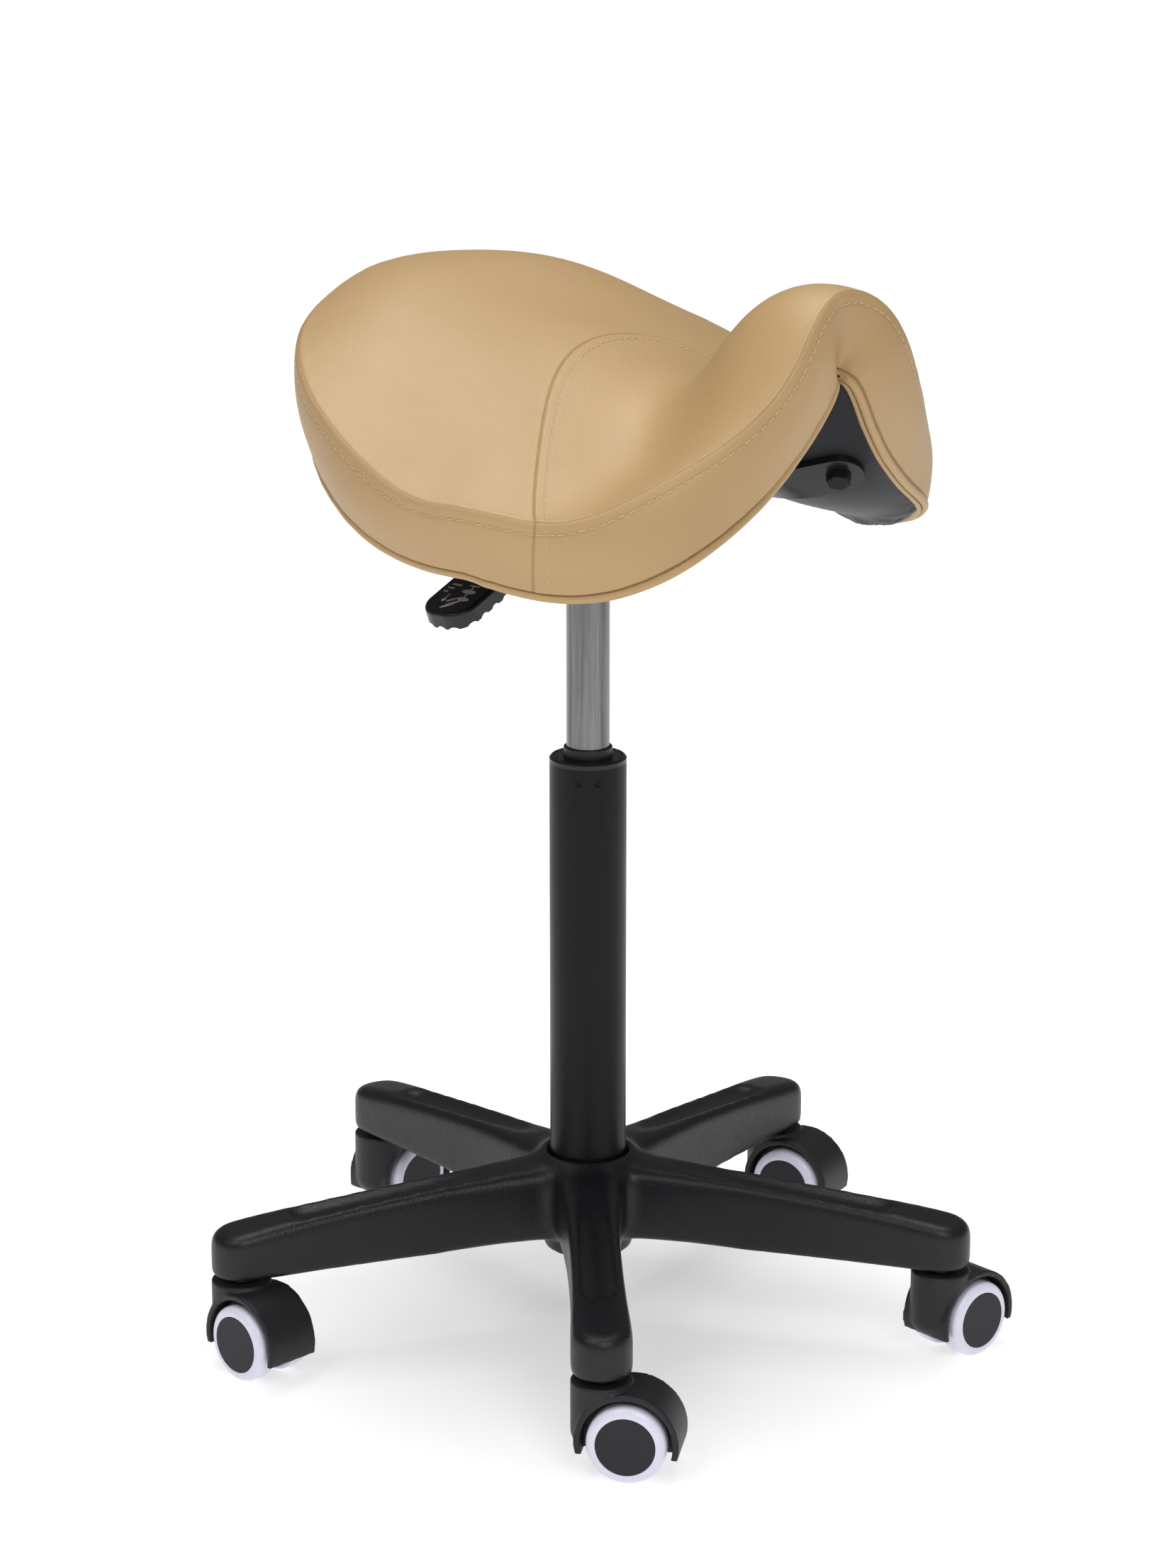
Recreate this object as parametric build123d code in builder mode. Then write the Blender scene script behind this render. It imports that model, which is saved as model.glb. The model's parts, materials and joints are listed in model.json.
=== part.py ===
"""Saddle stool on a gas lift: five-arm castered base, swivelling height column, release lever and a
moulded saddle seat. Millimetres, +Z up, origin on the floor under the column, +X towards the pommel."""
import math
import os

import numpy as np
from build123d import *

os.makedirs("parts", exist_ok=True)

# ---------------------------------------------------------------- driving dimensions
# five-arm base
ARM_COUNT = 5
ARM_START = 24.0            # direction of the first arm, degrees from +X
STEM_CIRCLE = 238.5         # radius of the circle of caster stems
ARM_NOSE = 19.0             # half width of an arm's rounded end
ARM_WAIST = 16.5            # half width of an arm half way along
ARM_ROOT = 21.0             # half width of an arm where it leaves the hub
ARM_UNDERSIDE = 63.0
ARM_TIP_TOP = 95.0
HUB_TOP = 120.0
HUB_BOTTOM = 51.0
HUB_RADIUS = 41.0
ARM_EDGE_ROUND = 8.0

# gas lift
COLUMN_RADIUS = 25.0
COLUMN_WALL = 1.6
COLUMN_BOTTOM = 56.0
COLUMN_TOP = 384.0
CRIMP_HEIGHT = 374.7        # three pairs of crimps hold the guide bush
CRIMP_START = -50.0
TAPER_TOP = 115.0           # the column's lower end tapers into the hub below this height
TAPER_RADIUS = 24.0
TUBE_RADIUS = 14.0          # chromed pressure tube
TUBE_BORE = 12.4
TUBE_BOTTOM = 206.0
TUBE_TOP = 544.0
TAPER_LENGTH = 30.0          # the tube's upper end tapers into the seat's socket
ROD_RADIUS = 5.0
ROD_BOTTOM = 52.0
ROD_TOP = 356.0
BUTTON_RADIUS = 4.0
RUNNING_FIT = 0.05          # radial clearance where one part turns or slides on another
ASSEMBLY_GAP = 0.1          # radial clearance where parts are only put together

# casters
CASTER_HEADINGS = (82.0, 10.0, 87.0, -5.0, 30.0)    # where each caster trails, degrees from +X
WHEEL_RADIUS = 25.0
WHEEL_TRAIL = 18.0          # stem axis to axle axis
WHEEL_INNER = 7.5           # inner and outer face of a wheel, from the caster's middle
WHEEL_OUTER = 21.5
NECK_RADIUS = 19.2
NECK_TOP = 60.0
HOOD_RADIUS = 32.5
HOOD_WALL = 4.0
HOOD_HALF_WIDTH = 19.0
HOOD_LIP = 17.0
WEB_HALF = 7.0
AXLE_RADIUS = 3.0
STEM_RADIUS = 5.5

# seat: the top surface is a ridge line with a flap falling away on each side of it
RIDGE_SLOPES = (19, -6, -24, -16, -20, 48, 32, -14)      # degrees, rear lip to front lip, even steps
FLAP_REACH = (60.0, 120.0, 180.0, 260.0)                 # distances from the ridge, over the leather
FLAP_SLOPES = (                                          # degrees below level at each reach,
    (13, 9, 20, 36, 60),                                 # at five even steps from rear to front
    (15, 29, 23, 21, 76),
    (18, 31, 23, 19, 79),
)
REAR_LENGTH = 170.0         # ridge length behind and ahead of the middle point
FRONT_LENGTH = 226.0
HALF_GIRTH = 216.0          # ridge to border, over the leather, at the widest
OUTLINE_POWER = 2.1
EGG = -0.38                 # the outline is wider behind the middle point than ahead of it
FLAP_RAKE = 0.83            # a flap moves forward by this much for each millimetre that it falls
RIDGE_X = 4.0               # where the middle point of the ridge is
RIDGE_Z = 665.0
CUSHION_DEPTH = 52.0
SHELL_TOP_DEPTH = 40.5
SHELL_BOTTOM_DEPTH = 49.5
COVER_DEPTH = 51.4
RIM = 9.0                   # foam and leather that wrap round the shell's edge

# seat mechanism
FRONT_TAB_DEPTH = COVER_DEPTH + 0.3
REAR_TAB_DEPTH = COVER_DEPTH + 2.8      # the seat curves more here, so its flat tabs stand off further
PLATE_THICKNESS = 4.0
HOUSING_FLOOR = 538.0
HOUSING_TOP = 566.0
HOUSING_HALF_WIDTH = 36.0
HOUSING_REAR = -52.0
HOUSING_FRONT = 60.0
SHEET = 3.0
STRAP_WIDTH = 32.0
STRAP_THICKNESS = 5.0
STRAP_OFFSET = 22.0         # centre line of a strap's flat part from the middle
STRAP_FLAT = 44.0           # length of the part bolted to the top plate
STRAP_HEIGHT = HOUSING_TOP + 0.2 + PLATE_THICKNESS + STRAP_THICKNESS / 2
LEVER_PIVOT_Y = -25.0
LEVER_PIVOT_Z = 553.6
LEVER_ROD_RADIUS = 4.0
BOLT_RADIUS = 4.0
BOLT_HEAD_FLATS = 13.0
BOLT_HEAD_HEIGHT = 5.3
FRAME_BOLT_RADIUS = 3.0
FRAME_BOLTS = [(x, STRAP_OFFSET * side) for x in (-36, -14, 18, 42) for side in (1, -1)]
PADDLE_WIDTH = 37.0
PADDLE_LENGTH = 78.0
PADDLE_THICKNESS = 11.0
PADDLE_ROOT = (12.0, -82.0, 535.0)
PADDLE_DROOP = 22.0         # degrees

BOTH_SIDES = (1, -1)


def save(part, name):
    """Label a finished piece and write its STEP file."""
    part.label = name
    export_step(part, f"parts/{name}.step")


def tube(outer, inner, bottom, top):
    """A plain round sleeve standing on the column axis."""
    with BuildPart() as sleeve:
        with BuildSketch(Plane.XY.offset(bottom)):
            Circle(outer)
            Circle(inner, mode=Mode.SUBTRACT)
        extrude(amount=top - bottom)
    return sleeve.part


# ---------------------------------------------------------------- five-arm base
def arm_angle(index):
    return ARM_START + index * 360.0 / ARM_COUNT


def base_arm():
    """One arm along +X: a side profile cut to its plan outline, with rounded upper edges."""
    tip = STEM_CIRCLE + ARM_NOSE
    with BuildPart() as arm:
        with BuildSketch(Plane.XZ):
            with BuildLine():
                Polyline((0, ARM_UNDERSIDE), (tip, ARM_UNDERSIDE), (tip, ARM_TIP_TOP - 3))
                Spline((tip, ARM_TIP_TOP - 3), (STEM_CIRCLE, ARM_TIP_TOP), (133, 107), (62, 113))
                Polyline((62, 113), (0, 116), (0, ARM_UNDERSIDE))
            make_face()
        extrude(amount=ARM_ROOT + 3, both=True)
        with BuildSketch(Plane.XY.offset(ARM_UNDERSIDE)):
            with BuildLine():
                side = Spline(
                    (0, -ARM_ROOT - 2), (45, -ARM_ROOT), (95, -ARM_WAIST - 0.6), (150, -ARM_WAIST),
                    (205, -ARM_NOSE + 1.2), (STEM_CIRCLE, -ARM_NOSE), tangents=((1, 0), (1, 0)),
                )
                mirror(side, about=Plane.XZ)
                ThreePointArc((STEM_CIRCLE, -ARM_NOSE), (tip, 0), (STEM_CIRCLE, ARM_NOSE))
                Line((0, -ARM_ROOT - 2), (0, ARM_ROOT + 2))
            make_face()
        extrude(amount=HUB_TOP - ARM_UNDERSIDE, mode=Mode.INTERSECT)
        upper_edges = arm.edges().filter_by(lambda edge: edge.center().Z > 88 and edge.center().X > 5)
        fillet(upper_edges, ARM_EDGE_ROUND)
    return arm.part


def arm_valley():
    """The shallow groove along the top of an arm, ending short of the domed tip."""
    start = Vector(70, 0, 125.5)
    end = Vector(197, 0, 111.5)
    with BuildPart() as valley:
        with BuildSketch(Plane(origin=start, z_dir=end - start)):
            Circle(16)
        extrude(amount=(end - start).length)
        with Locations(start, end):
            Sphere(16)
    return valley.part


arm_shape = base_arm()
valley_shape = arm_valley()

with BuildPart() as star_base:
    with BuildSketch(Plane.XZ):
        with BuildLine():
            Polyline((0, HUB_BOTTOM), (29, HUB_BOTTOM), (31, ARM_UNDERSIDE), (HUB_RADIUS, ARM_UNDERSIDE + 4))
            Spline((HUB_RADIUS, ARM_UNDERSIDE + 4), (HUB_RADIUS, 104), (37, 113), (31, 118.5), (27, HUB_TOP))
            Polyline((27, HUB_TOP), (0, HUB_TOP), (0, HUB_BOTTOM))
        make_face()
    revolve(axis=Axis.Z)
    for arm_index in range(ARM_COUNT):
        with Locations(Rotation(0, 0, arm_angle(arm_index))):
            add(arm_shape)
            add(valley_shape, mode=Mode.SUBTRACT)
    with BuildSketch(Plane.XY.offset(HUB_TOP)):
        Circle(27.3)
    extrude(amount=-(HUB_TOP - TAPER_TOP), mode=Mode.SUBTRACT)
    with BuildSketch(Plane.XZ):
        Polygon(
            (0, HUB_BOTTOM - 1), (TAPER_RADIUS + ASSEMBLY_GAP, HUB_BOTTOM - 1),
            (TAPER_RADIUS + ASSEMBLY_GAP, COLUMN_BOTTOM), (COLUMN_RADIUS + ASSEMBLY_GAP, TAPER_TOP),
            (0, TAPER_TOP), align=None,
        )
    revolve(axis=Axis.Z, mode=Mode.SUBTRACT)
    with BuildSketch(Plane.XY.offset(ARM_UNDERSIDE)):
        with PolarLocations(STEM_CIRCLE, ARM_COUNT, start_angle=ARM_START):
            Circle(8)
    extrude(amount=27, mode=Mode.SUBTRACT)
save(star_base.part, "star_base")

with BuildPart() as stem_sleeves:
    with BuildSketch(Plane.XY.offset(ARM_UNDERSIDE + 0.5)):
        with PolarLocations(STEM_CIRCLE, ARM_COUNT, start_angle=ARM_START):
            Circle(8 - RUNNING_FIT)
            Circle(STEM_RADIUS + RUNNING_FIT, mode=Mode.SUBTRACT)
    extrude(amount=26)
save(stem_sleeves.part, "stem_sleeves")

with BuildPart() as caster_stems:
    with BuildSketch(Plane.XY.offset(40)):
        with PolarLocations(STEM_CIRCLE, ARM_COUNT, start_angle=ARM_START):
            Circle(STEM_RADIUS)
    extrude(amount=48)
    with BuildSketch(Plane.XY.offset(NECK_TOP + 0.5)):
        with PolarLocations(STEM_CIRCLE, ARM_COUNT, start_angle=ARM_START):
            Circle(9)
    extrude(amount=1.7)
save(caster_stems.part, "caster_stems")


# ---------------------------------------------------------------- column, fixed to the base
with BuildPart() as column_tube:
    with BuildSketch(Plane.XZ):
        with BuildLine():
            Polyline(
                (0, COLUMN_BOTTOM), (TAPER_RADIUS, COLUMN_BOTTOM), (COLUMN_RADIUS, TAPER_TOP),
                (COLUMN_RADIUS, COLUMN_TOP), (COLUMN_RADIUS - COLUMN_WALL, COLUMN_TOP),
                (COLUMN_RADIUS - COLUMN_WALL, TAPER_TOP + 3),
                (TAPER_RADIUS - COLUMN_WALL, COLUMN_BOTTOM + 12),
                (TAPER_RADIUS - COLUMN_WALL, COLUMN_BOTTOM + 4),
                (0, COLUMN_BOTTOM + 4), (0, COLUMN_BOTTOM),
            )
        make_face()
    revolve(axis=Axis.Z)
    with BuildSketch(Plane.XY.offset(COLUMN_BOTTOM)):
        Circle(ROD_RADIUS + 2 * RUNNING_FIT)
    extrude(amount=4, mode=Mode.SUBTRACT)
    for crimp in BOTH_SIDES:
        with Locations(Plane.XY.offset(CRIMP_HEIGHT)):
            with PolarLocations(COLUMN_RADIUS + 1.4, 3, start_angle=CRIMP_START + 15 * crimp):
                Sphere(2.6, mode=Mode.SUBTRACT)
save(column_tube.part, "column_tube")

with BuildPart() as guide_bush:
    with BuildSketch(Plane.XY.offset(COLUMN_TOP - 62)):
        Circle(18)
        Circle(TUBE_RADIUS + RUNNING_FIT, mode=Mode.SUBTRACT)
    extrude(amount=62)
    for ring_height in (COLUMN_TOP - 60, COLUMN_TOP - 34, COLUMN_TOP - 8):
        with BuildSketch(Plane.XY.offset(ring_height)):
            Circle(COLUMN_RADIUS - COLUMN_WALL - ASSEMBLY_GAP)
            Circle(TUBE_RADIUS + RUNNING_FIT, mode=Mode.SUBTRACT)
        extrude(amount=8)
    with BuildSketch(Plane.XY.offset(COLUMN_TOP)):
        Circle(COLUMN_RADIUS)
        Circle(TUBE_RADIUS + RUNNING_FIT, mode=Mode.SUBTRACT)
    extrude(amount=4)
    rim_edge = guide_bush.edges().filter_by(GeomType.CIRCLE).sort_by(Axis.Z)[-2:].sort_by(SortBy.LENGTH)[-1]
    chamfer(rim_edge, 1.2)
    with BuildSketch(Plane.XY.offset(COLUMN_TOP + 4)):
        with PolarLocations(21.6, 18):
            Rectangle(0.9, 4.2)
    extrude(amount=-0.6, mode=Mode.SUBTRACT)
save(guide_bush.part, "guide_bush")

with BuildPart() as wiper_seal:
    with BuildSketch(Plane.XY.offset(COLUMN_TOP + 4)):
        Circle(15.8)
        Circle(TUBE_RADIUS + RUNNING_FIT, mode=Mode.SUBTRACT)
    extrude(amount=6.5)
    lip_edge = wiper_seal.edges().filter_by(GeomType.CIRCLE).sort_by(Axis.Z)[-2:].sort_by(SortBy.LENGTH)[-1]
    fillet(lip_edge, 0.8)
save(wiper_seal.part, "wiper_seal")

BEARING_BOTTOM = COLUMN_BOTTOM + 4
with BuildPart() as thrust_bearing:
    with BuildSketch(Plane.XY.offset(BEARING_BOTTOM)):
        Circle(13)
        Circle(6, mode=Mode.SUBTRACT)
    extrude(amount=2)
    with Locations(Plane.XY.offset(BEARING_BOTTOM + 4.2)):
        with PolarLocations(9.5, 9):
            Sphere(2)
    with BuildSketch(Plane.XY.offset(BEARING_BOTTOM + 3.4)):
        Circle(12.6)
        Circle(6.4, mode=Mode.SUBTRACT)
    extrude(amount=1.6)
save(thrust_bearing.part, "thrust_bearing")


# ---------------------------------------------------------------- piston rod, turning in the column
with BuildPart() as piston_rod:
    with BuildSketch(Plane.XY.offset(ROD_BOTTOM)):
        Circle(ROD_RADIUS)
    extrude(amount=ROD_TOP - ROD_BOTTOM)
    with BuildSketch(Plane.XY.offset(53.4)):
        Circle(ROD_RADIUS + 1)
        Circle(4, mode=Mode.SUBTRACT)
    extrude(amount=2.2, mode=Mode.SUBTRACT)
    with BuildSketch(Plane.XY.offset(BEARING_BOTTOM + 6.3)):
        Circle(12)
    extrude(amount=2.4)
save(piston_rod.part, "piston_rod")

save(tube(9, 4.1, 53.6, 55.4), "retaining_clip")
save(tube(11, ROD_RADIUS + RUNNING_FIT, BEARING_BOTTOM + 8.8, BEARING_BOTTOM + 22), "rubber_bumper")
save(tube(TUBE_BORE - ASSEMBLY_GAP, ROD_RADIUS + RUNNING_FIT, 345, 354), "piston")


# ---------------------------------------------------------------- pressure tube, rising with the seat
with BuildPart() as pressure_tube:
    with BuildSketch(Plane.XZ):
        with BuildLine():
            Polyline(
                (TUBE_BORE, TUBE_BOTTOM), (TUBE_RADIUS, TUBE_BOTTOM),
                (TUBE_RADIUS, TUBE_TOP - TAPER_LENGTH), (13.2, TUBE_TOP),
                (BUTTON_RADIUS + RUNNING_FIT, TUBE_TOP), (BUTTON_RADIUS + RUNNING_FIT, TUBE_TOP - 2),
                (TUBE_BORE - 0.6, TUBE_TOP - 2), (TUBE_BORE, TUBE_TOP - 36), (TUBE_BORE, TUBE_BOTTOM),
            )
        make_face()
    revolve(axis=Axis.Z)
save(pressure_tube.part, "pressure_tube")

save(tube(TUBE_BORE - ASSEMBLY_GAP, ROD_RADIUS + RUNNING_FIT, 208, 226), "tube_end_plug")
save(tube(TUBE_BORE - 0.8, BUTTON_RADIUS + RUNNING_FIT, TUBE_TOP - 40, TUBE_TOP - 2.2), "valve_body")

with BuildPart() as release_button:
    with BuildSketch(Plane.XY.offset(TUBE_TOP - 20)):
        Circle(BUTTON_RADIUS)
    extrude(amount=25)
    fillet(release_button.edges().group_by(Axis.Z)[-1], 1)
save(release_button.part, "release_button")


# ---------------------------------------------------------------- casters
def along_axle(start, end, radius):
    """A round bar about the axle, from one distance to another from the caster's middle."""
    with BuildPart() as bar:
        with BuildSketch(Plane(origin=(WHEEL_TRAIL, start, WHEEL_RADIUS), z_dir=(0, 1, 0))):
            Circle(radius)
        extrude(amount=end - start)
    return bar.part


def caster_housing():
    """Neck and hood in one moulding, trailing along +X from a stem on the Z axis."""
    hood = along_axle(-HOOD_HALF_WIDTH, HOOD_HALF_WIDTH, HOOD_RADIUS)
    wheel_wells = [
        along_axle(side * WEB_HALF, side * 40, HOOD_RADIUS - HOOD_WALL) for side in BOTH_SIDES
    ]
    axle_hole = along_axle(-30, 30, AXLE_RADIUS + 0.02)
    with BuildPart() as housing:
        with BuildSketch(Plane.XY.offset(HOOD_LIP - 1)):
            Circle(NECK_RADIUS)
        extrude(amount=NECK_TOP - HOOD_LIP + 1)
        fillet(housing.edges().group_by(Axis.Z)[0], 11)
        add(hood)
        with Locations((0, 0, HOOD_LIP)):
            Box(200, 200, 40, align=(Align.CENTER, Align.CENTER, Align.MAX), mode=Mode.SUBTRACT)
        for wheel_well in wheel_wells:
            add(wheel_well, mode=Mode.SUBTRACT)
        add(axle_hole, mode=Mode.SUBTRACT)
        with BuildSketch(Plane.XY.offset(NECK_TOP)):
            Circle(STEM_RADIUS + RUNNING_FIT)
        extrude(amount=-22, mode=Mode.SUBTRACT)
    return housing.part


def caster_wheel():
    """The moulded wheel on the +Y side: rounded tread, ribbed web, hub, and a recess for its cap."""
    axle = Axis((WHEEL_TRAIL, 0, WHEEL_RADIUS), (0, 1, 0))
    bore = AXLE_RADIUS + RUNNING_FIT
    side_plane = Plane(origin=(WHEEL_TRAIL, 0, WHEEL_RADIUS), x_dir=(0, 1, 0), z_dir=(1, 0, 0))
    with BuildPart() as wheel:
        with BuildSketch(side_plane):
            with BuildLine():
                Polyline((WHEEL_INNER, bore), (WHEEL_INNER, 7), (14, 7), (14, 19))
                Polyline((14, 19), (WHEEL_INNER, 20), (WHEEL_INNER, 23))
                ThreePointArc((WHEEL_INNER, 23), (WHEEL_INNER + 0.6, 24.4), (WHEEL_INNER + 2, WHEEL_RADIUS))
                Line((WHEEL_INNER + 2, WHEEL_RADIUS), (WHEEL_OUTER - 5, WHEEL_RADIUS))
                Spline(
                    (WHEEL_OUTER - 5, WHEEL_RADIUS), (WHEEL_OUTER - 1.2, 23), (WHEEL_OUTER, 18.7),
                    tangents=((1, 0), (0, -1)),
                )
                Polyline((WHEEL_OUTER, 18.7), (WHEEL_OUTER - 2.6, 18.7), (WHEEL_OUTER - 2.6, bore))
                Line((WHEEL_OUTER - 2.6, bore), (WHEEL_INNER, bore))
            make_face()
        revolve(axis=axle)
        rib_plane = Plane(origin=(WHEEL_TRAIL, WHEEL_INNER + 0.4, WHEEL_RADIUS), z_dir=(0, 1, 0))
        with BuildSketch(rib_plane):
            with PolarLocations(13, 5):
                Rectangle(14, 2.4)
        extrude(amount=7)
    return wheel.part


def wheel_cap():
    """The flat black disc that closes the outside of a wheel on the +Y side."""
    cap_plane = Plane(origin=(WHEEL_TRAIL, WHEEL_OUTER - 2.5, WHEEL_RADIUS), z_dir=(0, 1, 0))
    with BuildPart() as cap:
        with BuildSketch(cap_plane):
            Circle(18.6)
        extrude(amount=2.6)
        fillet(cap.edges().group_by(Axis.Y)[-1], 0.5)
    return cap.part


housing_shape = caster_housing()
axle_shape = along_axle(-WHEEL_OUTER + 2.7, WHEEL_OUTER - 2.7, AXLE_RADIUS)
left_wheel_shape = caster_wheel()
left_cap_shape = wheel_cap()
caster_shapes = {
    "housing": housing_shape,
    "axle": axle_shape,
    "wheel_a": left_wheel_shape,
    "cap_a": left_cap_shape,
    "wheel_b": left_wheel_shape.mirror(Plane.XZ),
    "cap_b": left_cap_shape.mirror(Plane.XZ),
}

for number, heading in enumerate(CASTER_HEADINGS, start=1):
    stem_angle = math.radians(arm_angle(number - 1))
    stem_place = (STEM_CIRCLE * math.cos(stem_angle), STEM_CIRCLE * math.sin(stem_angle), 0)
    for piece, shape in caster_shapes.items():
        with BuildPart() as caster_piece:
            with Locations(Location(stem_place, (0, 0, heading))):
                add(shape)
        save(caster_piece.part, f"caster_{number}_{piece}")


# ---------------------------------------------------------------- seat surface
def smooth(knots, values, at):
    """Natural cubic curve through the knots, read at any array of places."""
    knots = np.asarray(knots, float)
    values = np.asarray(values, float)
    gaps = np.diff(knots)
    count = len(knots)
    system = np.eye(count)
    bend = np.zeros(count)
    for i in range(1, count - 1):
        system[i, i - 1:i + 2] = gaps[i - 1], 2 * (gaps[i - 1] + gaps[i]), gaps[i]
        bend[i] = 6 * ((values[i + 1] - values[i]) / gaps[i] - (values[i] - values[i - 1]) / gaps[i - 1])
    curvature = np.linalg.solve(system, bend)
    at = np.clip(at, knots[0], knots[-1])
    i = np.clip(np.searchsorted(knots, at) - 1, 0, count - 2)
    left = (knots[i + 1] - at) / gaps[i]
    right = 1 - left
    swell = ((left ** 3 - left) * curvature[i] + (right ** 3 - right) * curvature[i + 1]) * gaps[i] ** 2 / 6
    return left * values[i] + right * values[i + 1] + swell


def running_sum(values, step):
    """Trapezium integral of a sampled curve, starting from zero."""
    areas = (values[1:] + values[:-1]) * step / 2
    return np.concatenate([[0.0], np.cumsum(areas)])


RIDGE_SAMPLES = np.linspace(-REAR_LENGTH, FRONT_LENGTH, 400)
RIDGE_KNOTS = np.linspace(-REAR_LENGTH, FRONT_LENGTH, len(RIDGE_SLOPES))
ridge_slope = np.radians(smooth(RIDGE_KNOTS, RIDGE_SLOPES, RIDGE_SAMPLES))
ridge_step = RIDGE_SAMPLES[1] - RIDGE_SAMPLES[0]
ridge_run = running_sum(np.cos(ridge_slope), ridge_step)
ridge_rise = running_sum(np.sin(ridge_slope), ridge_step)
ridge_run += RIDGE_X - np.interp(0, RIDGE_SAMPLES, ridge_run)
ridge_rise += RIDGE_Z - np.interp(0, RIDGE_SAMPLES, ridge_rise)


def flap_slope(along, across):
    """Slope of the flap in radians, at a place along the ridge and a distance from it."""
    stations = np.linspace(-REAR_LENGTH, FRONT_LENGTH, len(FLAP_SLOPES[0]))
    rows = [np.zeros_like(along)] + [smooth(stations, row, along) for row in FLAP_SLOPES]
    rows.append(rows[3] + 0.3 * (rows[3] - rows[2]))
    reach = (0.0,) + FLAP_REACH
    total = 0
    for index, row in enumerate(rows):
        weight = smooth(reach, np.eye(len(reach))[index], across)
        total = total + weight * row
    return np.radians(total)


def seat_point(along, across):
    """Points of the seat's top surface for arrays of places along and across it."""
    parts = np.linspace(0, 1, 41)
    distance = np.abs(across)[..., None] * parts
    slope = flap_slope(np.broadcast_to(along[..., None], distance.shape), distance)
    weight = np.full(41, 1 / 40)
    weight[[0, -1]] /= 2
    run = (np.cos(slope) * weight).sum(-1) * np.abs(across)
    drop = (np.sin(slope) * weight).sum(-1) * np.abs(across)
    x = np.interp(along, RIDGE_SAMPLES, ridge_run) + FLAP_RAKE * drop
    z = np.interp(along, RIDGE_SAMPLES, ridge_rise) - drop
    return np.stack([x, np.sign(across) * run, z], -1)


def seat_normal(along, across):
    """Outward unit normals of the top surface."""
    reach = 2.0
    lengthwise = seat_point(along + reach, across) - seat_point(along - reach, across)
    crosswise = seat_point(along, across + reach) - seat_point(along, across - reach)
    normal = np.cross(lengthwise, crosswise)
    return normal / np.linalg.norm(normal, axis=-1, keepdims=True)


def half_girth(along, inset):
    """Distance from the ridge to the egg-shaped border, shrunk by an inset."""
    length = np.where(along > 0, FRONT_LENGTH, REAR_LENGTH) - inset
    share = np.clip(np.abs(along) / length, 0, 1)
    bow = (1 - share ** OUTLINE_POWER) ** (1 / OUTLINE_POWER)
    lean = np.sign(along) * share ** (OUTLINE_POWER / 2)
    return (HALF_GIRTH - inset) * bow * (1 + EGG * lean)


def seat_layer(depth, inset):
    """A face at a depth below the leather, inside a border that is shrunk by an inset."""
    rows = 19
    columns = 21
    share = 0.985 * np.sin(np.linspace(-math.pi / 2, math.pi / 2, rows))
    along = np.where(share > 0, share * (FRONT_LENGTH - inset), share * (REAR_LENGTH - inset))
    across = half_girth(along, inset)[:, None] * np.linspace(-1, 1, columns)[None, :]
    along = np.broadcast_to(along[:, None], across.shape)
    points = seat_point(along, across) - depth * seat_normal(along, across)
    grid = [[Vector(*point) for point in row] for row in points]
    return Face.make_surface_from_array_of_points(grid, tol=0.02)


def seat_solid(*layers):
    """Close a solid between the first and last layer, by way of the borders of those between."""
    walls = []
    for upper, lower in zip(layers, layers[1:]):
        for edge in upper.edges():
            partner = lower.edges().sort_by_distance(edge @ 0.5)[0]
            walls.append(Face.make_surface_from_curves(edge, partner))
    return Solid(Shell([layers[0], layers[-1]] + walls))


def seat_frame(along, across, depth):
    """A plane at a depth below the leather, facing out of the seat."""
    place = np.array([float(along)]), np.array([float(across)])
    normal = seat_normal(*place)[0]
    point = seat_point(*place)[0] - depth * normal
    return Plane(origin=Vector(*point), x_dir=(1, 0, -normal[0] / normal[2]), z_dir=Vector(*normal))


# the rim of the cushion wraps down round the shell, which lies in the pocket behind it
with BuildPart() as seat_cushion:
    add(seat_solid(
        seat_layer(0, 0), seat_layer(CUSHION_DEPTH, 0),
        seat_layer(CUSHION_DEPTH, RIM), seat_layer(SHELL_TOP_DEPTH - 0.5, RIM),
    ))
save(seat_cushion.part, "seat_cushion")

FRONT_BOLTS = [(115, 88 * side) for side in BOTH_SIDES]
REAR_BOLTS = [(-78, 62 * side) for side in BOTH_SIDES]
with BuildPart() as bolt_holes:
    for along, across in FRONT_BOLTS + REAR_BOLTS:
        with BuildSketch(seat_frame(along, across, 70)):
            Circle(BOLT_RADIUS + 0.2)
        extrude(amount=28)

with BuildPart() as tee_nuts:
    for along, across in FRONT_BOLTS + REAR_BOLTS:
        with BuildSketch(seat_frame(along, across, SHELL_BOTTOM_DEPTH - 1.5)):
            Circle(6)
            Circle(BOLT_RADIUS + RUNNING_FIT, mode=Mode.SUBTRACT)
        extrude(amount=6)
save(tee_nuts.part, "tee_nuts")

with BuildPart() as nut_seats:
    for along, across in FRONT_BOLTS + REAR_BOLTS:
        with BuildSketch(seat_frame(along, across, SHELL_BOTTOM_DEPTH - 1.4)):
            Circle(6.1)
        extrude(amount=9)

with BuildPart() as seat_shell:
    add(seat_solid(seat_layer(SHELL_TOP_DEPTH, RIM + 0.5), seat_layer(SHELL_BOTTOM_DEPTH, RIM + 0.5)))
    add(nut_seats.part, mode=Mode.SUBTRACT)
    add(bolt_holes.part, mode=Mode.SUBTRACT)
save(seat_shell.part, "seat_shell")

with BuildPart() as under_cover:
    add(seat_solid(seat_layer(SHELL_BOTTOM_DEPTH + 0.5, RIM + 0.5), seat_layer(COVER_DEPTH, RIM + 0.5)))
    add(bolt_holes.part, mode=Mode.SUBTRACT)
save(under_cover.part, "under_cover")


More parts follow.
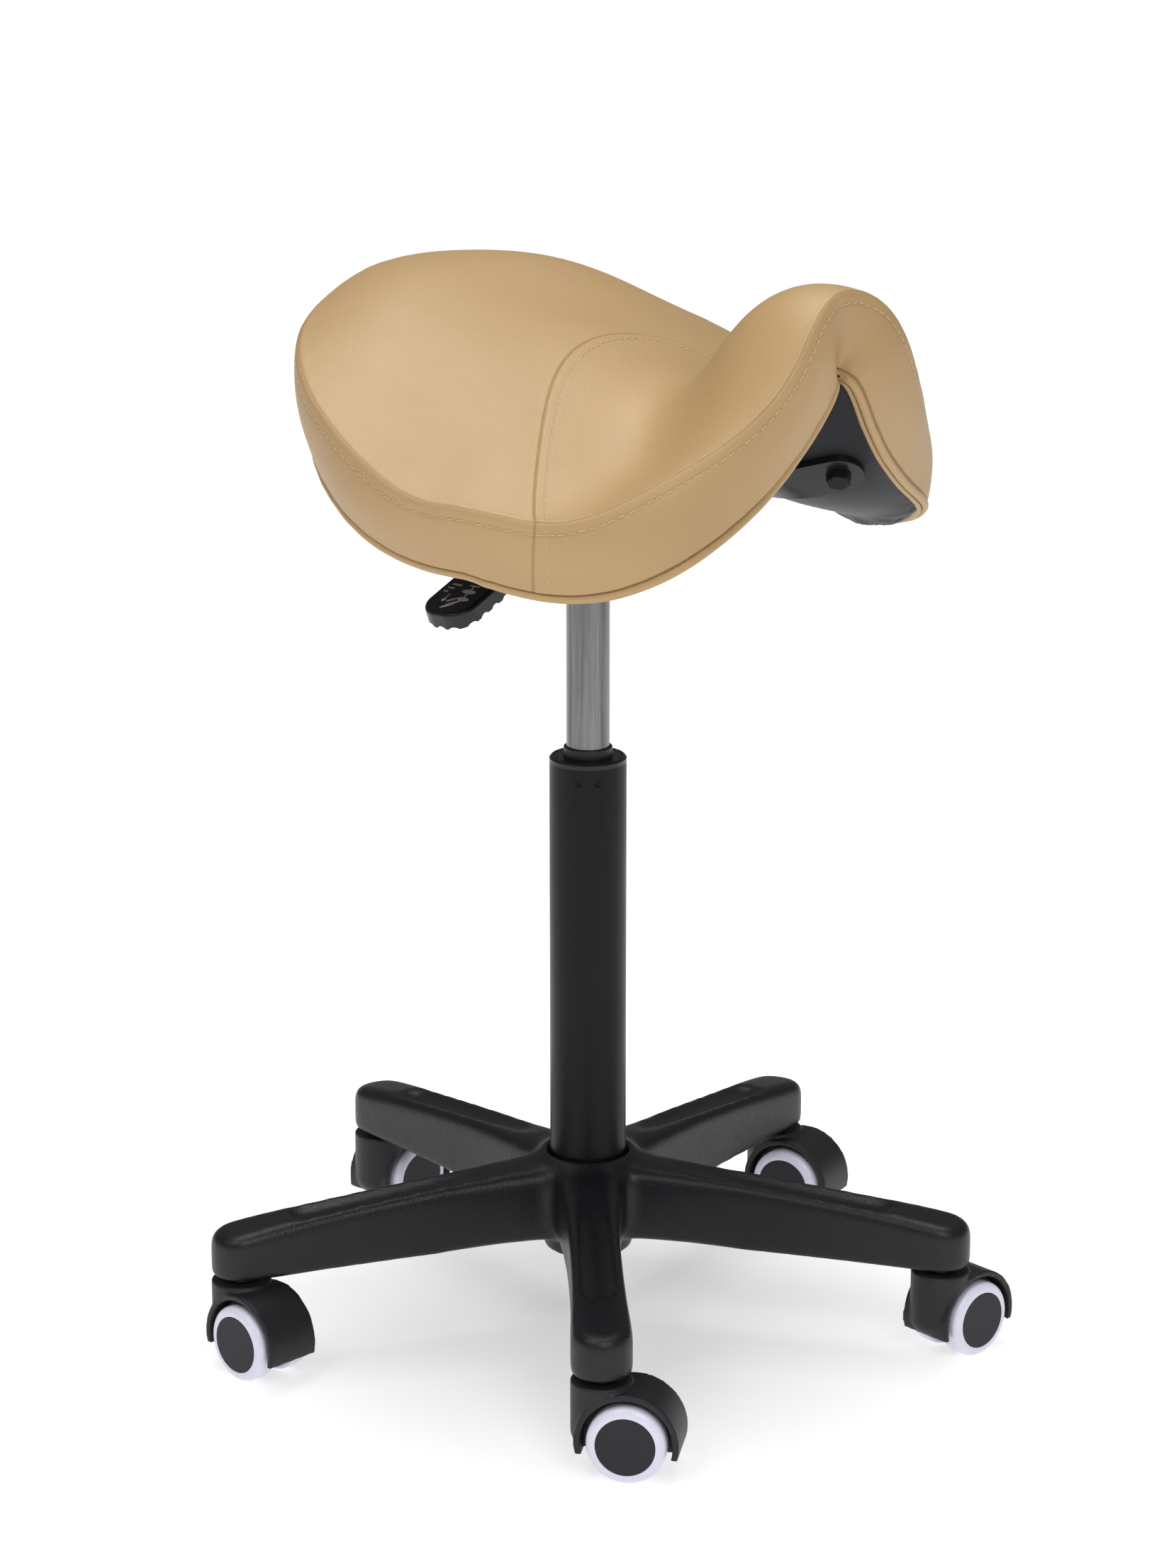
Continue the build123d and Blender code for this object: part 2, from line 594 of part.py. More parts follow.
# ---------------------------------------------------------------- seat mechanism
housing_length = HOUSING_FRONT - HOUSING_REAR
housing_middle = (HOUSING_FRONT + HOUSING_REAR) / 2
with BuildPart() as mechanism_housing:
    with BuildSketch(Plane.XY.offset(HOUSING_FLOOR)):
        with Locations((housing_middle, 0)):
            RectangleRounded(housing_length, 2 * HOUSING_HALF_WIDTH, 6)
    extrude(amount=HOUSING_TOP - HOUSING_FLOOR)
    with BuildSketch(Plane.XY.offset(HOUSING_FLOOR + SHEET)):
        with Locations((housing_middle, 0)):
            RectangleRounded(housing_length - 2 * SHEET, 2 * (HOUSING_HALF_WIDTH - SHEET), 3.5)
    extrude(amount=HOUSING_TOP - HOUSING_FLOOR - SHEET, mode=Mode.SUBTRACT)
    with BuildSketch(Plane.XY.offset(HOUSING_FLOOR)):
        Circle(20)
    extrude(amount=SHEET, mode=Mode.SUBTRACT)
    with BuildSketch(Plane.XZ.offset(HOUSING_HALF_WIDTH + 1)):
        with Locations((0, LEVER_PIVOT_Z)):
            RectangleRounded(2 * LEVER_ROD_RADIUS + 3, 18, 3)
    extrude(amount=-(SHEET + 2), mode=Mode.SUBTRACT)
    for ear_side in BOTH_SIDES:
        with BuildSketch(Plane.YZ.offset(ear_side * 9 - 1.5)):
            with Locations((LEVER_PIVOT_Y, HOUSING_FLOOR + SHEET - 0.5)):
                Rectangle(11, LEVER_PIVOT_Z - HOUSING_FLOOR + 3, align=(Align.CENTER, Align.MIN))
        extrude(amount=3)
    with BuildSketch(Plane.YZ.offset(-20)):
        with Locations((LEVER_PIVOT_Y, LEVER_PIVOT_Z)):
            Circle(3.02)
    extrude(amount=40, mode=Mode.SUBTRACT)
save(mechanism_housing.part, "mechanism_housing")

with BuildPart() as top_plate:
    with BuildSketch(Plane.XY.offset(HOUSING_TOP + 0.1)):
        with Locations((housing_middle, 0)):
            RectangleRounded(housing_length + 4, 2 * HOUSING_HALF_WIDTH + 4, 6)
        with Locations(*FRAME_BOLTS):
            Circle(3.1, mode=Mode.SUBTRACT)
    extrude(amount=PLATE_THICKNESS)
save(top_plate.part, "top_plate")

with BuildPart() as taper_socket:
    socket_bottom = TUBE_TOP - TAPER_LENGTH - 2
    with BuildSketch(Plane.XZ):
        with BuildLine():
            Polyline(
                (TUBE_RADIUS + 0.15, socket_bottom), (17.4, socket_bottom), (19.9, socket_bottom + 3),
                (19.9, HOUSING_FLOOR + SHEET), (17, HOUSING_FLOOR + SHEET), (17, TUBE_TOP - 1),
                (13.3, TUBE_TOP - 1), (TUBE_RADIUS + 0.15, TUBE_TOP - TAPER_LENGTH + 1),
                close=True,
            )
        make_face()
    revolve(axis=Axis.Z)
save(taper_socket.part, "taper_socket")


def strap(root, run, tab):
    """A flat bar that leaves the top plate level, then bends and twists to lie flat under the seat."""
    travel = tab.origin - root
    tab_run = (travel - tab.z_dir * travel.dot(tab.z_dir)).normalized()
    bend_end = tab.origin - tab_run * 18
    reach = (bend_end - root).length
    with BuildPart() as bar:
        for share in np.linspace(0, 1, 9):
            square = share ** 2
            cube = share ** 3
            ease = 3 * square - 2 * cube
            place = root * (1 - ease) + bend_end * ease
            place += run * (reach * (cube - 2 * square + share)) + tab_run * (reach * (cube - square))
            heading = (bend_end - root) * (6 * share - 6 * square)
            heading += run * (reach * (3 * square - 4 * share + 1))
            heading += tab_run * (reach * (3 * square - 2 * share))
            up = Vector(0, 0, 1) * (1 - ease) + tab.z_dir * ease
            with BuildSketch(Plane(origin=place, x_dir=up.cross(heading), z_dir=heading)):
                Rectangle(STRAP_WIDTH, STRAP_THICKNESS)
        loft()
        with BuildSketch(Plane(origin=root, x_dir=(0, 1, 0), z_dir=run)):
            Rectangle(STRAP_WIDTH, STRAP_THICKNESS)
        extrude(amount=-STRAP_FLAT)
        tab_back = tab.origin - tab.z_dir * (STRAP_THICKNESS / 2)
        with BuildSketch(Plane(origin=tab_back, x_dir=tab_run, z_dir=tab.z_dir)):
            Circle(STRAP_WIDTH / 2)
            with Locations((-9, 0)):
                Rectangle(18, STRAP_WIDTH)
        extrude(amount=STRAP_THICKNESS)
        with BuildSketch(Plane(origin=tab.origin - tab.z_dir * 10, x_dir=tab_run, z_dir=tab.z_dir)):
            Circle(BOLT_RADIUS + 0.2)
        extrude(amount=20, mode=Mode.SUBTRACT)
        with BuildSketch(Plane.XY.offset(HOUSING_TOP)):
            with Locations(*FRAME_BOLTS):
                Circle(FRAME_BOLT_RADIUS + 0.1)
        extrude(amount=14, mode=Mode.SUBTRACT)
    return bar.part


with BuildPart() as front_straps:
    for along, across in FRONT_BOLTS:
        root = Vector(58, math.copysign(STRAP_OFFSET, across), STRAP_HEIGHT)
        tab = seat_frame(along, across, FRONT_TAB_DEPTH + STRAP_THICKNESS / 2)
        add(strap(root, Vector(1, 0, 0), tab))
save(front_straps.part, "front_straps")

with BuildPart() as rear_straps:
    for along, across in REAR_BOLTS:
        root = Vector(-44, math.copysign(STRAP_OFFSET, across), STRAP_HEIGHT)
        tab = seat_frame(along, across, REAR_TAB_DEPTH + STRAP_THICKNESS / 2)
        add(strap(root, Vector(-1, 0, 0), tab))
save(rear_straps.part, "rear_straps")

with BuildPart() as seat_bolts:
    for along, across in FRONT_BOLTS + REAR_BOLTS:
        head_depth = (FRONT_TAB_DEPTH if along > 0 else REAR_TAB_DEPTH) + STRAP_THICKNESS + 0.1
        with BuildSketch(seat_frame(along, across, head_depth + BOLT_HEAD_HEIGHT)):
            RegularPolygon(BOLT_HEAD_FLATS / 2, 6, major_radius=False)
        extrude(amount=BOLT_HEAD_HEIGHT - 1.2)
        with BuildSketch(seat_frame(along, across, head_depth + 1.2)):
            Circle(BOLT_HEAD_FLATS / 2 + 1.4)
        extrude(amount=1.2)
        with BuildSketch(seat_frame(along, across, head_depth)):
            Circle(BOLT_RADIUS)
        extrude(amount=head_depth - SHELL_TOP_DEPTH - 3)
save(seat_bolts.part, "seat_bolts")

with BuildPart() as frame_bolts:
    with BuildSketch(Plane.XY.offset(HOUSING_TOP - 7)):
        with Locations(*FRAME_BOLTS):
            Circle(FRAME_BOLT_RADIUS)
    extrude(amount=STRAP_HEIGHT + STRAP_THICKNESS / 2 - HOUSING_TOP + 7.2)
    for height in (HOUSING_TOP - 5, STRAP_HEIGHT + STRAP_THICKNESS / 2 + 0.1):
        with BuildSketch(Plane.XY.offset(height)):
            with Locations(*FRAME_BOLTS):
                RegularPolygon(5, 6, major_radius=False)
        extrude(amount=4)
save(frame_bolts.part, "frame_bolts")


# ---------------------------------------------------------------- release lever
with BuildPart() as lever_pivot_pin:
    with BuildSketch(Plane.YZ.offset(-12)):
        with Locations((LEVER_PIVOT_Y, LEVER_PIVOT_Z)):
            Circle(3)
    extrude(amount=24)
save(lever_pivot_pin.part, "lever_pivot_pin")

paddle_slope = math.radians(PADDLE_DROOP)
paddle_run = Vector(0, -math.cos(paddle_slope), -math.sin(paddle_slope))
paddle_up = Vector(0, -math.sin(paddle_slope), math.cos(paddle_slope))
paddle_root = Vector(*PADDLE_ROOT)
with BuildPart() as lever_rod:
    with BuildLine() as rod_path:
        FilletPolyline(
            (0, 14, LEVER_PIVOT_Z), (0, -38, LEVER_PIVOT_Z), paddle_root, paddle_root + paddle_run * 30,
            radius=9,
        )
    with BuildSketch(Plane(origin=rod_path.line @ 0, z_dir=rod_path.line % 0)):
        Circle(LEVER_ROD_RADIUS)
    sweep()
    with BuildSketch(Plane.YZ.offset(-7)):
        with Locations((LEVER_PIVOT_Y, LEVER_PIVOT_Z)):
            Circle(6)
    extrude(amount=14)
    with BuildSketch(Plane.YZ.offset(-7)):
        with Locations((LEVER_PIVOT_Y, LEVER_PIVOT_Z)):
            Circle(3 + RUNNING_FIT)
    extrude(amount=14, mode=Mode.SUBTRACT)
save(lever_rod.part, "lever_rod")

paddle_plane = Plane(
    origin=paddle_root + paddle_up * (-PADDLE_THICKNESS / 2), x_dir=paddle_run, z_dir=paddle_up,
)
with BuildPart() as lever_paddle:
    with BuildSketch(paddle_plane):
        with Locations((PADDLE_LENGTH / 2, 0)):
            RectangleRounded(PADDLE_LENGTH, PADDLE_WIDTH, 15)
    extrude(amount=PADDLE_THICKNESS)
    top_rim = lever_paddle.faces().sort_by(lambda face: face.center().dot(paddle_up))[-1].edges()
    fillet(top_rim, 2.5)
    groove_length = PADDLE_WIDTH + 10
    for step in range(5):
        groove_start = paddle_plane.from_local_coords((26 + 10.5 * step, -groove_length / 2, -2.6))
        with BuildSketch(Plane(origin=groove_start, z_dir=paddle_plane.y_dir)):
            Circle(4.2)
        extrude(amount=groove_length, mode=Mode.SUBTRACT)
    for offset in (-9, 0, 9):
        groove_start = paddle_plane.from_local_coords((PADDLE_LENGTH - 26, offset, -2.6))
        with BuildSketch(Plane(origin=groove_start, z_dir=paddle_run)):
            Circle(4.2)
        extrude(amount=40, mode=Mode.SUBTRACT)
    with BuildSketch(Plane(origin=paddle_root - paddle_run * 2, z_dir=paddle_run)):
        Circle(LEVER_ROD_RADIUS + 0.05)
    extrude(amount=33, mode=Mode.SUBTRACT)
save(lever_paddle.part, "lever_paddle")
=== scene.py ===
"""Saddle stool on a gas lift: the looks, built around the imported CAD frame.

The row frame is in metres, with +Z up and +X towards the pommel."""

import json
import math

import bpy
import numpy as np
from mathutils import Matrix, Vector, noise
from mathutils.bvhtree import BVHTree


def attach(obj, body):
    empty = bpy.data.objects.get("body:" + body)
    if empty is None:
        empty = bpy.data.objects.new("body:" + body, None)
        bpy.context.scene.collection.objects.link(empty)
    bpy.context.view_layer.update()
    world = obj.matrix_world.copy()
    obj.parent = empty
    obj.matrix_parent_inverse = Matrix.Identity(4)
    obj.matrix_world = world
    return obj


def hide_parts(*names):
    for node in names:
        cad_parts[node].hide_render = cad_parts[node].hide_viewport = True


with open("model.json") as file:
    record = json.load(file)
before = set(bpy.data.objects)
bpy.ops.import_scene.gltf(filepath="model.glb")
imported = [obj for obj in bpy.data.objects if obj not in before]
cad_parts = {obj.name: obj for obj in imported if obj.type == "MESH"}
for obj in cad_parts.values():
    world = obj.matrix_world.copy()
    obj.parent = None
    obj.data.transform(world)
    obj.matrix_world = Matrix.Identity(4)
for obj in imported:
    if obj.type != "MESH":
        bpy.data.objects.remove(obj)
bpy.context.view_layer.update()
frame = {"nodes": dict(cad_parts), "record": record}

MM = 0.001

# the saddle's shape, in the same driving dimensions (mm and degrees) as the CAD seat
RIDGE_SLOPES = (19, -6, -24, -16, -20, 48, 32, -14)
FLAP_REACH = (60.0, 120.0, 180.0, 260.0)
FLAP_SLOPES = (
    (13, 9, 20, 36, 60),
    (15, 29, 23, 21, 76),
    (18, 31, 23, 19, 79),
)
REAR_LENGTH = 170.0
FRONT_LENGTH = 226.0
HALF_GIRTH = 216.0
OUTLINE_POWER = 2.1
EGG = -0.38
FLAP_RAKE = 0.83
RIDGE_X = 4.0
RIDGE_Z = 665.0

# the sewn cover, mm
BAND_DEPTH = 47.0           # leather band round the side, from the border seam to the welt
BAND_BULGE = 5.4
BULGE_END = 52.0            # depth at which the band is flush with the border again
SEAM_START = 11.5           # the transverse seam crosses the ridge this far ahead of the middle point
SEAM_BOW = 49.8             # and swings forward by this much at the border
SEAM_SLANT = 0.93           # distance square to the seam per distance along the seat
STITCH_PITCH = 6.2
CROSS_STITCH_AHEAD = 6.5    # top-stitching ahead of the transverse seam


# ---------------------------------------------------------------- saddle surface
def smooth_weights(knots, at):
    """Weights that read a natural cubic curve through the knots at any array of places."""
    knots = np.asarray(knots, float)
    gaps = np.diff(knots)
    count = len(knots)
    system = np.eye(count)
    bend = np.zeros((count, count))
    for i in range(1, count - 1):
        system[i, i - 1:i + 2] = gaps[i - 1], 2 * (gaps[i - 1] + gaps[i]), gaps[i]
        bend[i, i - 1:i + 2] = 6 / gaps[i - 1], -6 / gaps[i - 1] - 6 / gaps[i], 6 / gaps[i]
    curvature = np.linalg.solve(system, bend)
    at = np.clip(at, knots[0], knots[-1])
    i = np.clip(np.searchsorted(knots, at) - 1, 0, count - 2)
    left = ((knots[i + 1] - at) / gaps[i])[..., None]
    right = 1 - left
    swell = (left ** 3 - left) * curvature[i] + (right ** 3 - right) * curvature[i + 1]
    return left * np.eye(count)[i] + right * np.eye(count)[i + 1] + swell * (gaps[i] ** 2)[..., None] / 6


ridge_samples = np.linspace(-REAR_LENGTH, FRONT_LENGTH, 400)
ridge_knots = np.linspace(-REAR_LENGTH, FRONT_LENGTH, len(RIDGE_SLOPES))
ridge_slope = np.radians(smooth_weights(ridge_knots, ridge_samples) @ np.array(RIDGE_SLOPES, float))
ridge_step = ridge_samples[1] - ridge_samples[0]


def running_sum(values):
    return np.concatenate([[0.0], np.cumsum((values[1:] + values[:-1]) * ridge_step / 2)])


ridge_run = running_sum(np.cos(ridge_slope))
ridge_rise = running_sum(np.sin(ridge_slope))
ridge_run += RIDGE_X - np.interp(0, ridge_samples, ridge_run)
ridge_rise += RIDGE_Z - np.interp(0, ridge_samples, ridge_rise)
flap_stations = np.linspace(-REAR_LENGTH, FRONT_LENGTH, len(FLAP_SLOPES[0]))


def seat_point(along, across):
    """Points (mm) of the top surface, for flat arrays of places along and across the ridge."""
    shares = np.linspace(0, 1, 41)
    rows = [np.zeros_like(along)]
    rows += [smooth_weights(flap_stations, along) @ np.array(row, float) for row in FLAP_SLOPES]
    rows.append(rows[3] + 0.3 * (rows[3] - rows[2]))
    reach = (0.0,) + FLAP_REACH
    weights = smooth_weights(reach, np.abs(across)[:, None] * shares)
    slope = np.radians(np.einsum("psk,kp->ps", weights, np.array(rows)))
    share_weight = np.full(len(shares), 1 / (len(shares) - 1))
    share_weight[[0, -1]] /= 2
    run = (np.cos(slope) * share_weight).sum(1) * np.abs(across)
    drop = (np.sin(slope) * share_weight).sum(1) * np.abs(across)
    x = np.interp(along, ridge_samples, ridge_run) + FLAP_RAKE * drop
    z = np.interp(along, ridge_samples, ridge_rise) - drop
    return np.stack([x, np.sign(across) * run, z], -1)


def unit(vectors):
    return vectors / np.maximum(np.linalg.norm(vectors, axis=-1, keepdims=True), 1e-9)


def seat_normal(along, across):
    reach = 2.0
    lengthwise = seat_point(along + reach, across) - seat_point(along - reach, across)
    crosswise = seat_point(along, across + reach) - seat_point(along, across - reach)
    return unit(np.cross(lengthwise, crosswise))


def half_girth(along):
    length = np.where(along > 0, FRONT_LENGTH, REAR_LENGTH)
    share = np.clip(np.abs(along) / length, 0, 0.99999)
    bow = (1 - share ** OUTLINE_POWER) ** (1 / OUTLINE_POWER)
    lean = np.sign(along) * share ** (OUTLINE_POWER / 2)
    return HALF_GIRTH * bow * (1 + EGG * lean)


def seat_places(x, y):
    """From the unit disc to places along and across; the disc's line x = 0 is the transverse seam."""
    x = np.clip(x, -0.9999, 0.9999)
    length = np.where(x > 0, FRONT_LENGTH, REAR_LENGTH)
    along = x * length + SEAM_START * (1 - x ** 2) + SEAM_BOW * y ** 2
    edge = np.sqrt(1 - x ** 2)
    across = np.clip(y / edge, -1, 1) * half_girth(along)
    return along, across


# ---------------------------------------------------------------- grids over the seat
def block_loop(rows, columns):
    """Indices round the edge of a rows x columns block of points, anticlockwise from its far lower corner."""
    def at(i, j):
        return i * columns + j
    loop = [at(rows - 1, j) for j in range(columns - 1)]
    loop += [at(i, columns - 1) for i in range(rows - 1, 0, -1)]
    loop += [at(0, j) for j in range(columns - 1, 0, -1)]
    loop += [at(i, 0) for i in range(rows - 1)]
    return loop


def block_faces(rows, columns, first=0):
    i, j = np.meshgrid(np.arange(rows - 1), np.arange(columns - 1), indexing="ij")
    corner = (first + i * columns + j).ravel()
    return np.stack([corner, corner + columns, corner + columns + 1, corner + 1], 1)


def strip_faces(inner, outer):
    """Quads between two closed loops of point indices of equal length."""
    inner = np.asarray(inner)
    outer = np.asarray(outer)
    return np.stack([inner, outer, np.roll(outer, -1), np.roll(inner, -1)], 1)


class SeatGrid:
    """Points over the seat's outline: a square block in the middle, then rings out to the border.

    Positions are in millimetres. block_x and block_y run from -1 to 1, and rings are
    radii of the unit disc."""

    def __init__(self, block_x, block_y, rings):
        self.block_x = np.asarray(block_x, float)
        self.block_y = np.asarray(block_y, float)
        self.rings = np.asarray(rings, float)
        u, v = np.meshgrid(self.block_x, self.block_y, indexing="ij")
        x = rings[0] * u * np.sqrt(1 - v ** 2 / 2)
        y = rings[0] * v * np.sqrt(1 - u ** 2 / 2)
        self.shape = x.shape
        loop = block_loop(*x.shape)
        x, y = x.ravel(), y.ravel()
        self.angle = np.unwrap(np.arctan2(y[loop], x[loop]))
        self.loops = [np.array(loop)]
        xs, ys = [x], [y]
        count = len(x)
        for radius in rings[1:]:
            xs.append(radius * np.cos(self.angle))
            ys.append(radius * np.sin(self.angle))
            self.loops.append(np.arange(count, count + len(loop)))
            count += len(loop)
        self.x = np.concatenate(xs)
        self.y = np.concatenate(ys)
        self.along, self.across = seat_places(self.x, self.y)
        self.points = seat_point(self.along, self.across)
        self.normals = seat_normal(self.along, self.across)
        border = self.points[self.loops[-1]]
        self.border = border
        self.border_normal = self.normals[self.loops[-1]]
        tangent = unit(np.roll(border, -1, 0) - np.roll(border, 1, 0))
        self.border_out = unit(np.cross(tangent, self.border_normal))
        steps = np.linalg.norm(np.roll(border, -1, 0) - border, axis=1)
        self.arc = np.concatenate([[0], np.cumsum(steps)])[:-1]
        self.perimeter = steps.sum()

    def faces(self):
        parts = [block_faces(*self.shape)]
        parts += [strip_faces(a, b) for a, b in zip(self.loops, self.loops[1:])]
        return np.concatenate(parts)

    def side_points(self, outward, depth):
        """A loop of points off the border: outward from it, and down into the seat by a depth."""
        return self.border + outward * self.border_out - depth * self.border_normal

    def seam_distance(self):
        """Distance ahead of the transverse seam for each top point, mm."""
        bow = SEAM_BOW * (self.y ** 2) / np.maximum(1 - self.x ** 2, 0.05)
        return (self.along - SEAM_START - bow) * SEAM_SLANT

    def side_seam_distance(self):
        """Distance ahead of the transverse seam for each border point, mm; large far from it."""
        turn = np.mod(self.angle, 2 * np.pi)
        left = np.interp(np.pi / 2, turn[np.argsort(turn)], self.arc[np.argsort(turn)])
        right = np.interp(3 * np.pi / 2, turn[np.argsort(turn)], self.arc[np.argsort(turn)])
        ahead_left = left - self.arc
        ahead_right = self.arc - right
        return np.where(np.abs(ahead_left) < np.abs(ahead_right), ahead_left, ahead_right)


def mirrored(values):
    """A list of distances from 0 upwards, made symmetric about 0."""
    values = np.asarray(values, float)
    return np.concatenate([-values[:0:-1], values])


def bulge(depth):
    """How far the side band stands out at a depth."""
    return BAND_BULGE * np.sin(np.pi * (np.clip(depth, 0, BULGE_END) / BULGE_END) ** 0.8)


def dip(distance, width):
    return np.exp(-(distance / width) ** 2)


def wave(points, scale, seed):
    """Smooth noise between about -1 and 1 at each point; scale is the size of a wave in mm."""
    shift = Vector((seed * 17.3, seed * 5.1, seed * 9.7))
    return np.array([noise.noise(Vector(point) / scale + shift) for point in points.tolist()])


# ---------------------------------------------------------------- materials
def new_material(name, color, roughness, **sockets):
    """A Principled material; further sockets are given by name with _ for spaces."""
    made = bpy.data.materials.new(name)
    made.use_nodes = True
    shader = made.node_tree.nodes["Principled BSDF"]
    shader.inputs["Base Color"].default_value = (*color, 1)
    shader.inputs["Roughness"].default_value = roughness
    for socket, value in sockets.items():
        shader.inputs[socket.replace("_", " ")].default_value = value
    return made


def node(made, kind, **settings):
    """A node with its attributes and inputs set; inputs are given by name with _ for spaces."""
    found = made.node_tree.nodes.new(kind)
    for name, value in settings.items():
        if hasattr(found, name):
            setattr(found, name, value)
        else:
            found.inputs[name.replace("_", " ")].default_value = value
    return found


def link(made, source, target):
    made.node_tree.links.new(source, target)


def object_place(made, stretch=(1, 1, 1)):
    """Texture coordinates in the row frame, stretched along the axes."""
    place = node(made, "ShaderNodeTexCoord")
    mapping = node(made, "ShaderNodeMapping")
    mapping.inputs["Scale"].default_value = stretch
    link(made, place.outputs["Object"], mapping.inputs["Vector"])
    return mapping.outputs["Vector"]


def noise_of(made, place, scale, detail=2.0, roughness=0.5, distortion=0.0):
    texture = node(made, "ShaderNodeTexNoise", Scale=scale, Detail=detail, Roughness=roughness)
    texture.inputs["Distortion"].default_value = distortion
    link(made, place, texture.inputs["Vector"])
    return texture.outputs["Fac"]


def ranged(made, value, low, high, from_low=0.0, from_high=1.0):
    """A value moved from one range to another."""
    change = node(made, "ShaderNodeMapRange")
    for index, number in ((1, from_low), (2, from_high), (3, low), (4, high)):
        change.inputs[index].default_value = number
    link(made, value, change.inputs[0])
    return change.outputs[0]


def combine(made, operation, first, second):
    """A math node of two values; either may be a number."""
    sum_node = node(made, "ShaderNodeMath", operation=operation)
    for index, value in enumerate((first, second)):
        if isinstance(value, (int, float)):
            sum_node.inputs[index].default_value = value
        else:
            link(made, value, sum_node.inputs[index])
    return sum_node.outputs[0]


def shift_color(made, value, dark, light):
    """Base colour that goes from dark to light as value goes from 0 to 1."""
    ramp = node(made, "ShaderNodeMix", data_type="RGBA")
    ramp.inputs[6].default_value = (*dark, 1)
    ramp.inputs[7].default_value = (*light, 1)
    link(made, value, ramp.inputs[0])
    link(made, ramp.outputs[2], made.node_tree.nodes["Principled BSDF"].inputs["Base Color"])
    return ramp


def bumped(made, height, distance, strength=1.0):
    raised = node(made, "ShaderNodeBump", Strength=strength, Distance=distance)
    link(made, height, raised.inputs["Height"])
    link(made, raised.outputs["Normal"], made.node_tree.nodes["Principled BSDF"].inputs["Normal"])


def roughened(made, value):
    link(made, value, made.node_tree.nodes["Principled BSDF"].inputs["Roughness"])


def grained(made, cell, depth, place=None, softness=0.35):
    """Moulded leather grain: pebbles of a size, in metres, with creases between them."""
    place = place or object_place(made)
    warp = node(made, "ShaderNodeTexNoise", Scale=0.5 / cell, Detail=2.0)
    link(made, place, warp.inputs["Vector"])
    shifted = node(made, "ShaderNodeVectorMath", operation="MULTIPLY_ADD")
    shifted.inputs[1].default_value = (cell * softness,) * 3
    link(made, warp.outputs["Color"], shifted.inputs[0])
    link(made, place, shifted.inputs[2])
    pebbles = node(made, "ShaderNodeTexVoronoi", Scale=1 / cell, feature="SMOOTH_F1", Smoothness=0.4)
    link(made, shifted.outputs[0], pebbles.inputs["Vector"])
    height = ranged(made, pebbles.outputs["Distance"], 1, 0)
    fine = noise_of(made, place, 3 / cell, 3)
    mixed = combine(made, "ADD", height, combine(made, "MULTIPLY", fine, 0.35))
    bumped(made, mixed, depth)
    return height, fine


def tan_leatherette():
    made = new_material("tan_leatherette", (0.43, 0.28, 0.13), 0.50, Specular_IOR_Level=0.55)
    place = object_place(made)
    height, fine = grained(made, 0.0011, 0.0001, place)
    cloudy = noise_of(made, place, 9, 4)
    # The point attribute read here is painted shade: it darkens the leather in its seams and folds, and on
    # the cover turned in underneath.
    groove_shade = node(made, "ShaderNodeAttribute", attribute_name="groove_shade")
    shade = combine(made, "ADD", ranged(made, cloudy, 0.32, 0.58), ranged(made, fine, -0.06, 0.06))
    shade = combine(made, "SUBTRACT", shade, combine(made, "MULTIPLY", groove_shade.outputs["Fac"], 0.4))
    shift_color(made, shade, (0.25, 0.147, 0.058), (0.61, 0.407, 0.187))
    roughened(made, ranged(made, combine(made, "ADD", height, cloudy), 0.56, 0.42, 0.4, 1.7))
    return made


def tan_thread():
    made = new_material("tan_thread", (0.74, 0.54, 0.29), 0.6, Sheen_Weight=0.2)
    place = object_place(made)
    bumped(made, noise_of(made, place, 5200, 1), 0.00008)
    shift_color(made, noise_of(made, place, 900, 1), (0.47, 0.33, 0.17), (0.70, 0.53, 0.31))
    return made


def black_thread():
    made = new_material("black_thread", (0.012, 0.012, 0.013), 0.55, Sheen_Weight=0.2)
    bumped(made, noise_of(made, object_place(made), 5200, 1), 0.00008)
    return made


def lining_cloth():
    """Thin black lining: a fine plain weave, slightly shiny."""
    made = new_material(
        "lining_cloth", (0.012, 0.012, 0.015), 0.50, Specular_IOR_Level=0.22, Sheen_Weight=0.05,
    )
    place = object_place(made)
    heights = []
    for direction in ("X", "Y"):
        threads = node(made, "ShaderNodeTexWave", bands_direction=direction, Scale=350, Distortion=0.6)
        link(made, place, threads.inputs["Vector"])
        heights.append(threads.outputs["Fac"])
    weave = combine(made, "MAXIMUM", heights[0], heights[1])
    bumped(made, combine(made, "ADD", weave, noise_of(made, place, 700, 2)), 0.00005)
    shift_color(made, noise_of(made, place, 14, 3), (0.007, 0.007, 0.009), (0.017, 0.017, 0.021))
    return made


def moulded_black(name, color, roughness, cell, depth, gloss=0.34):
    """Black plastic with a moulded leather grain, worn a little smoother on the high spots."""
    made = new_material(name, color, roughness, Specular_IOR_Level=gloss)
    place = object_place(made)
    height, fine = grained(made, cell, depth, place)
    cloudy = noise_of(made, place, 11, 4)
    lighter = tuple(1.5 * channel for channel in color)
    shift_color(made, ranged(made, combine(made, "ADD", cloudy, fine), 0, 1, 0.7, 1.3), color, lighter)
    worn = combine(made, "ADD", height, cloudy)
    roughened(made, ranged(made, worn, roughness + 0.08, roughness - 0.08, 0.5, 1.6))
    return made


def painted_black(name, roughness, peel, gloss=0.16):
    """Black paint with a slight orange peel and a few soft smears."""
    made = new_material(name, (0.009, 0.009, 0.010), roughness, Specular_IOR_Level=gloss)
    place = object_place(made)
    bumped(made, noise_of(made, place, 420, 2), peel)
    smears = noise_of(made, object_place(made, (1, 1, 0.2)), 30, 4, 0.6)
    roughened(made, ranged(made, smears, roughness - 0.07, roughness + 0.09, 0.3, 0.7))
    shift_color(made, noise_of(made, place, 600, 1), (0.004, 0.004, 0.005), (0.009, 0.009, 0.010))
    return made


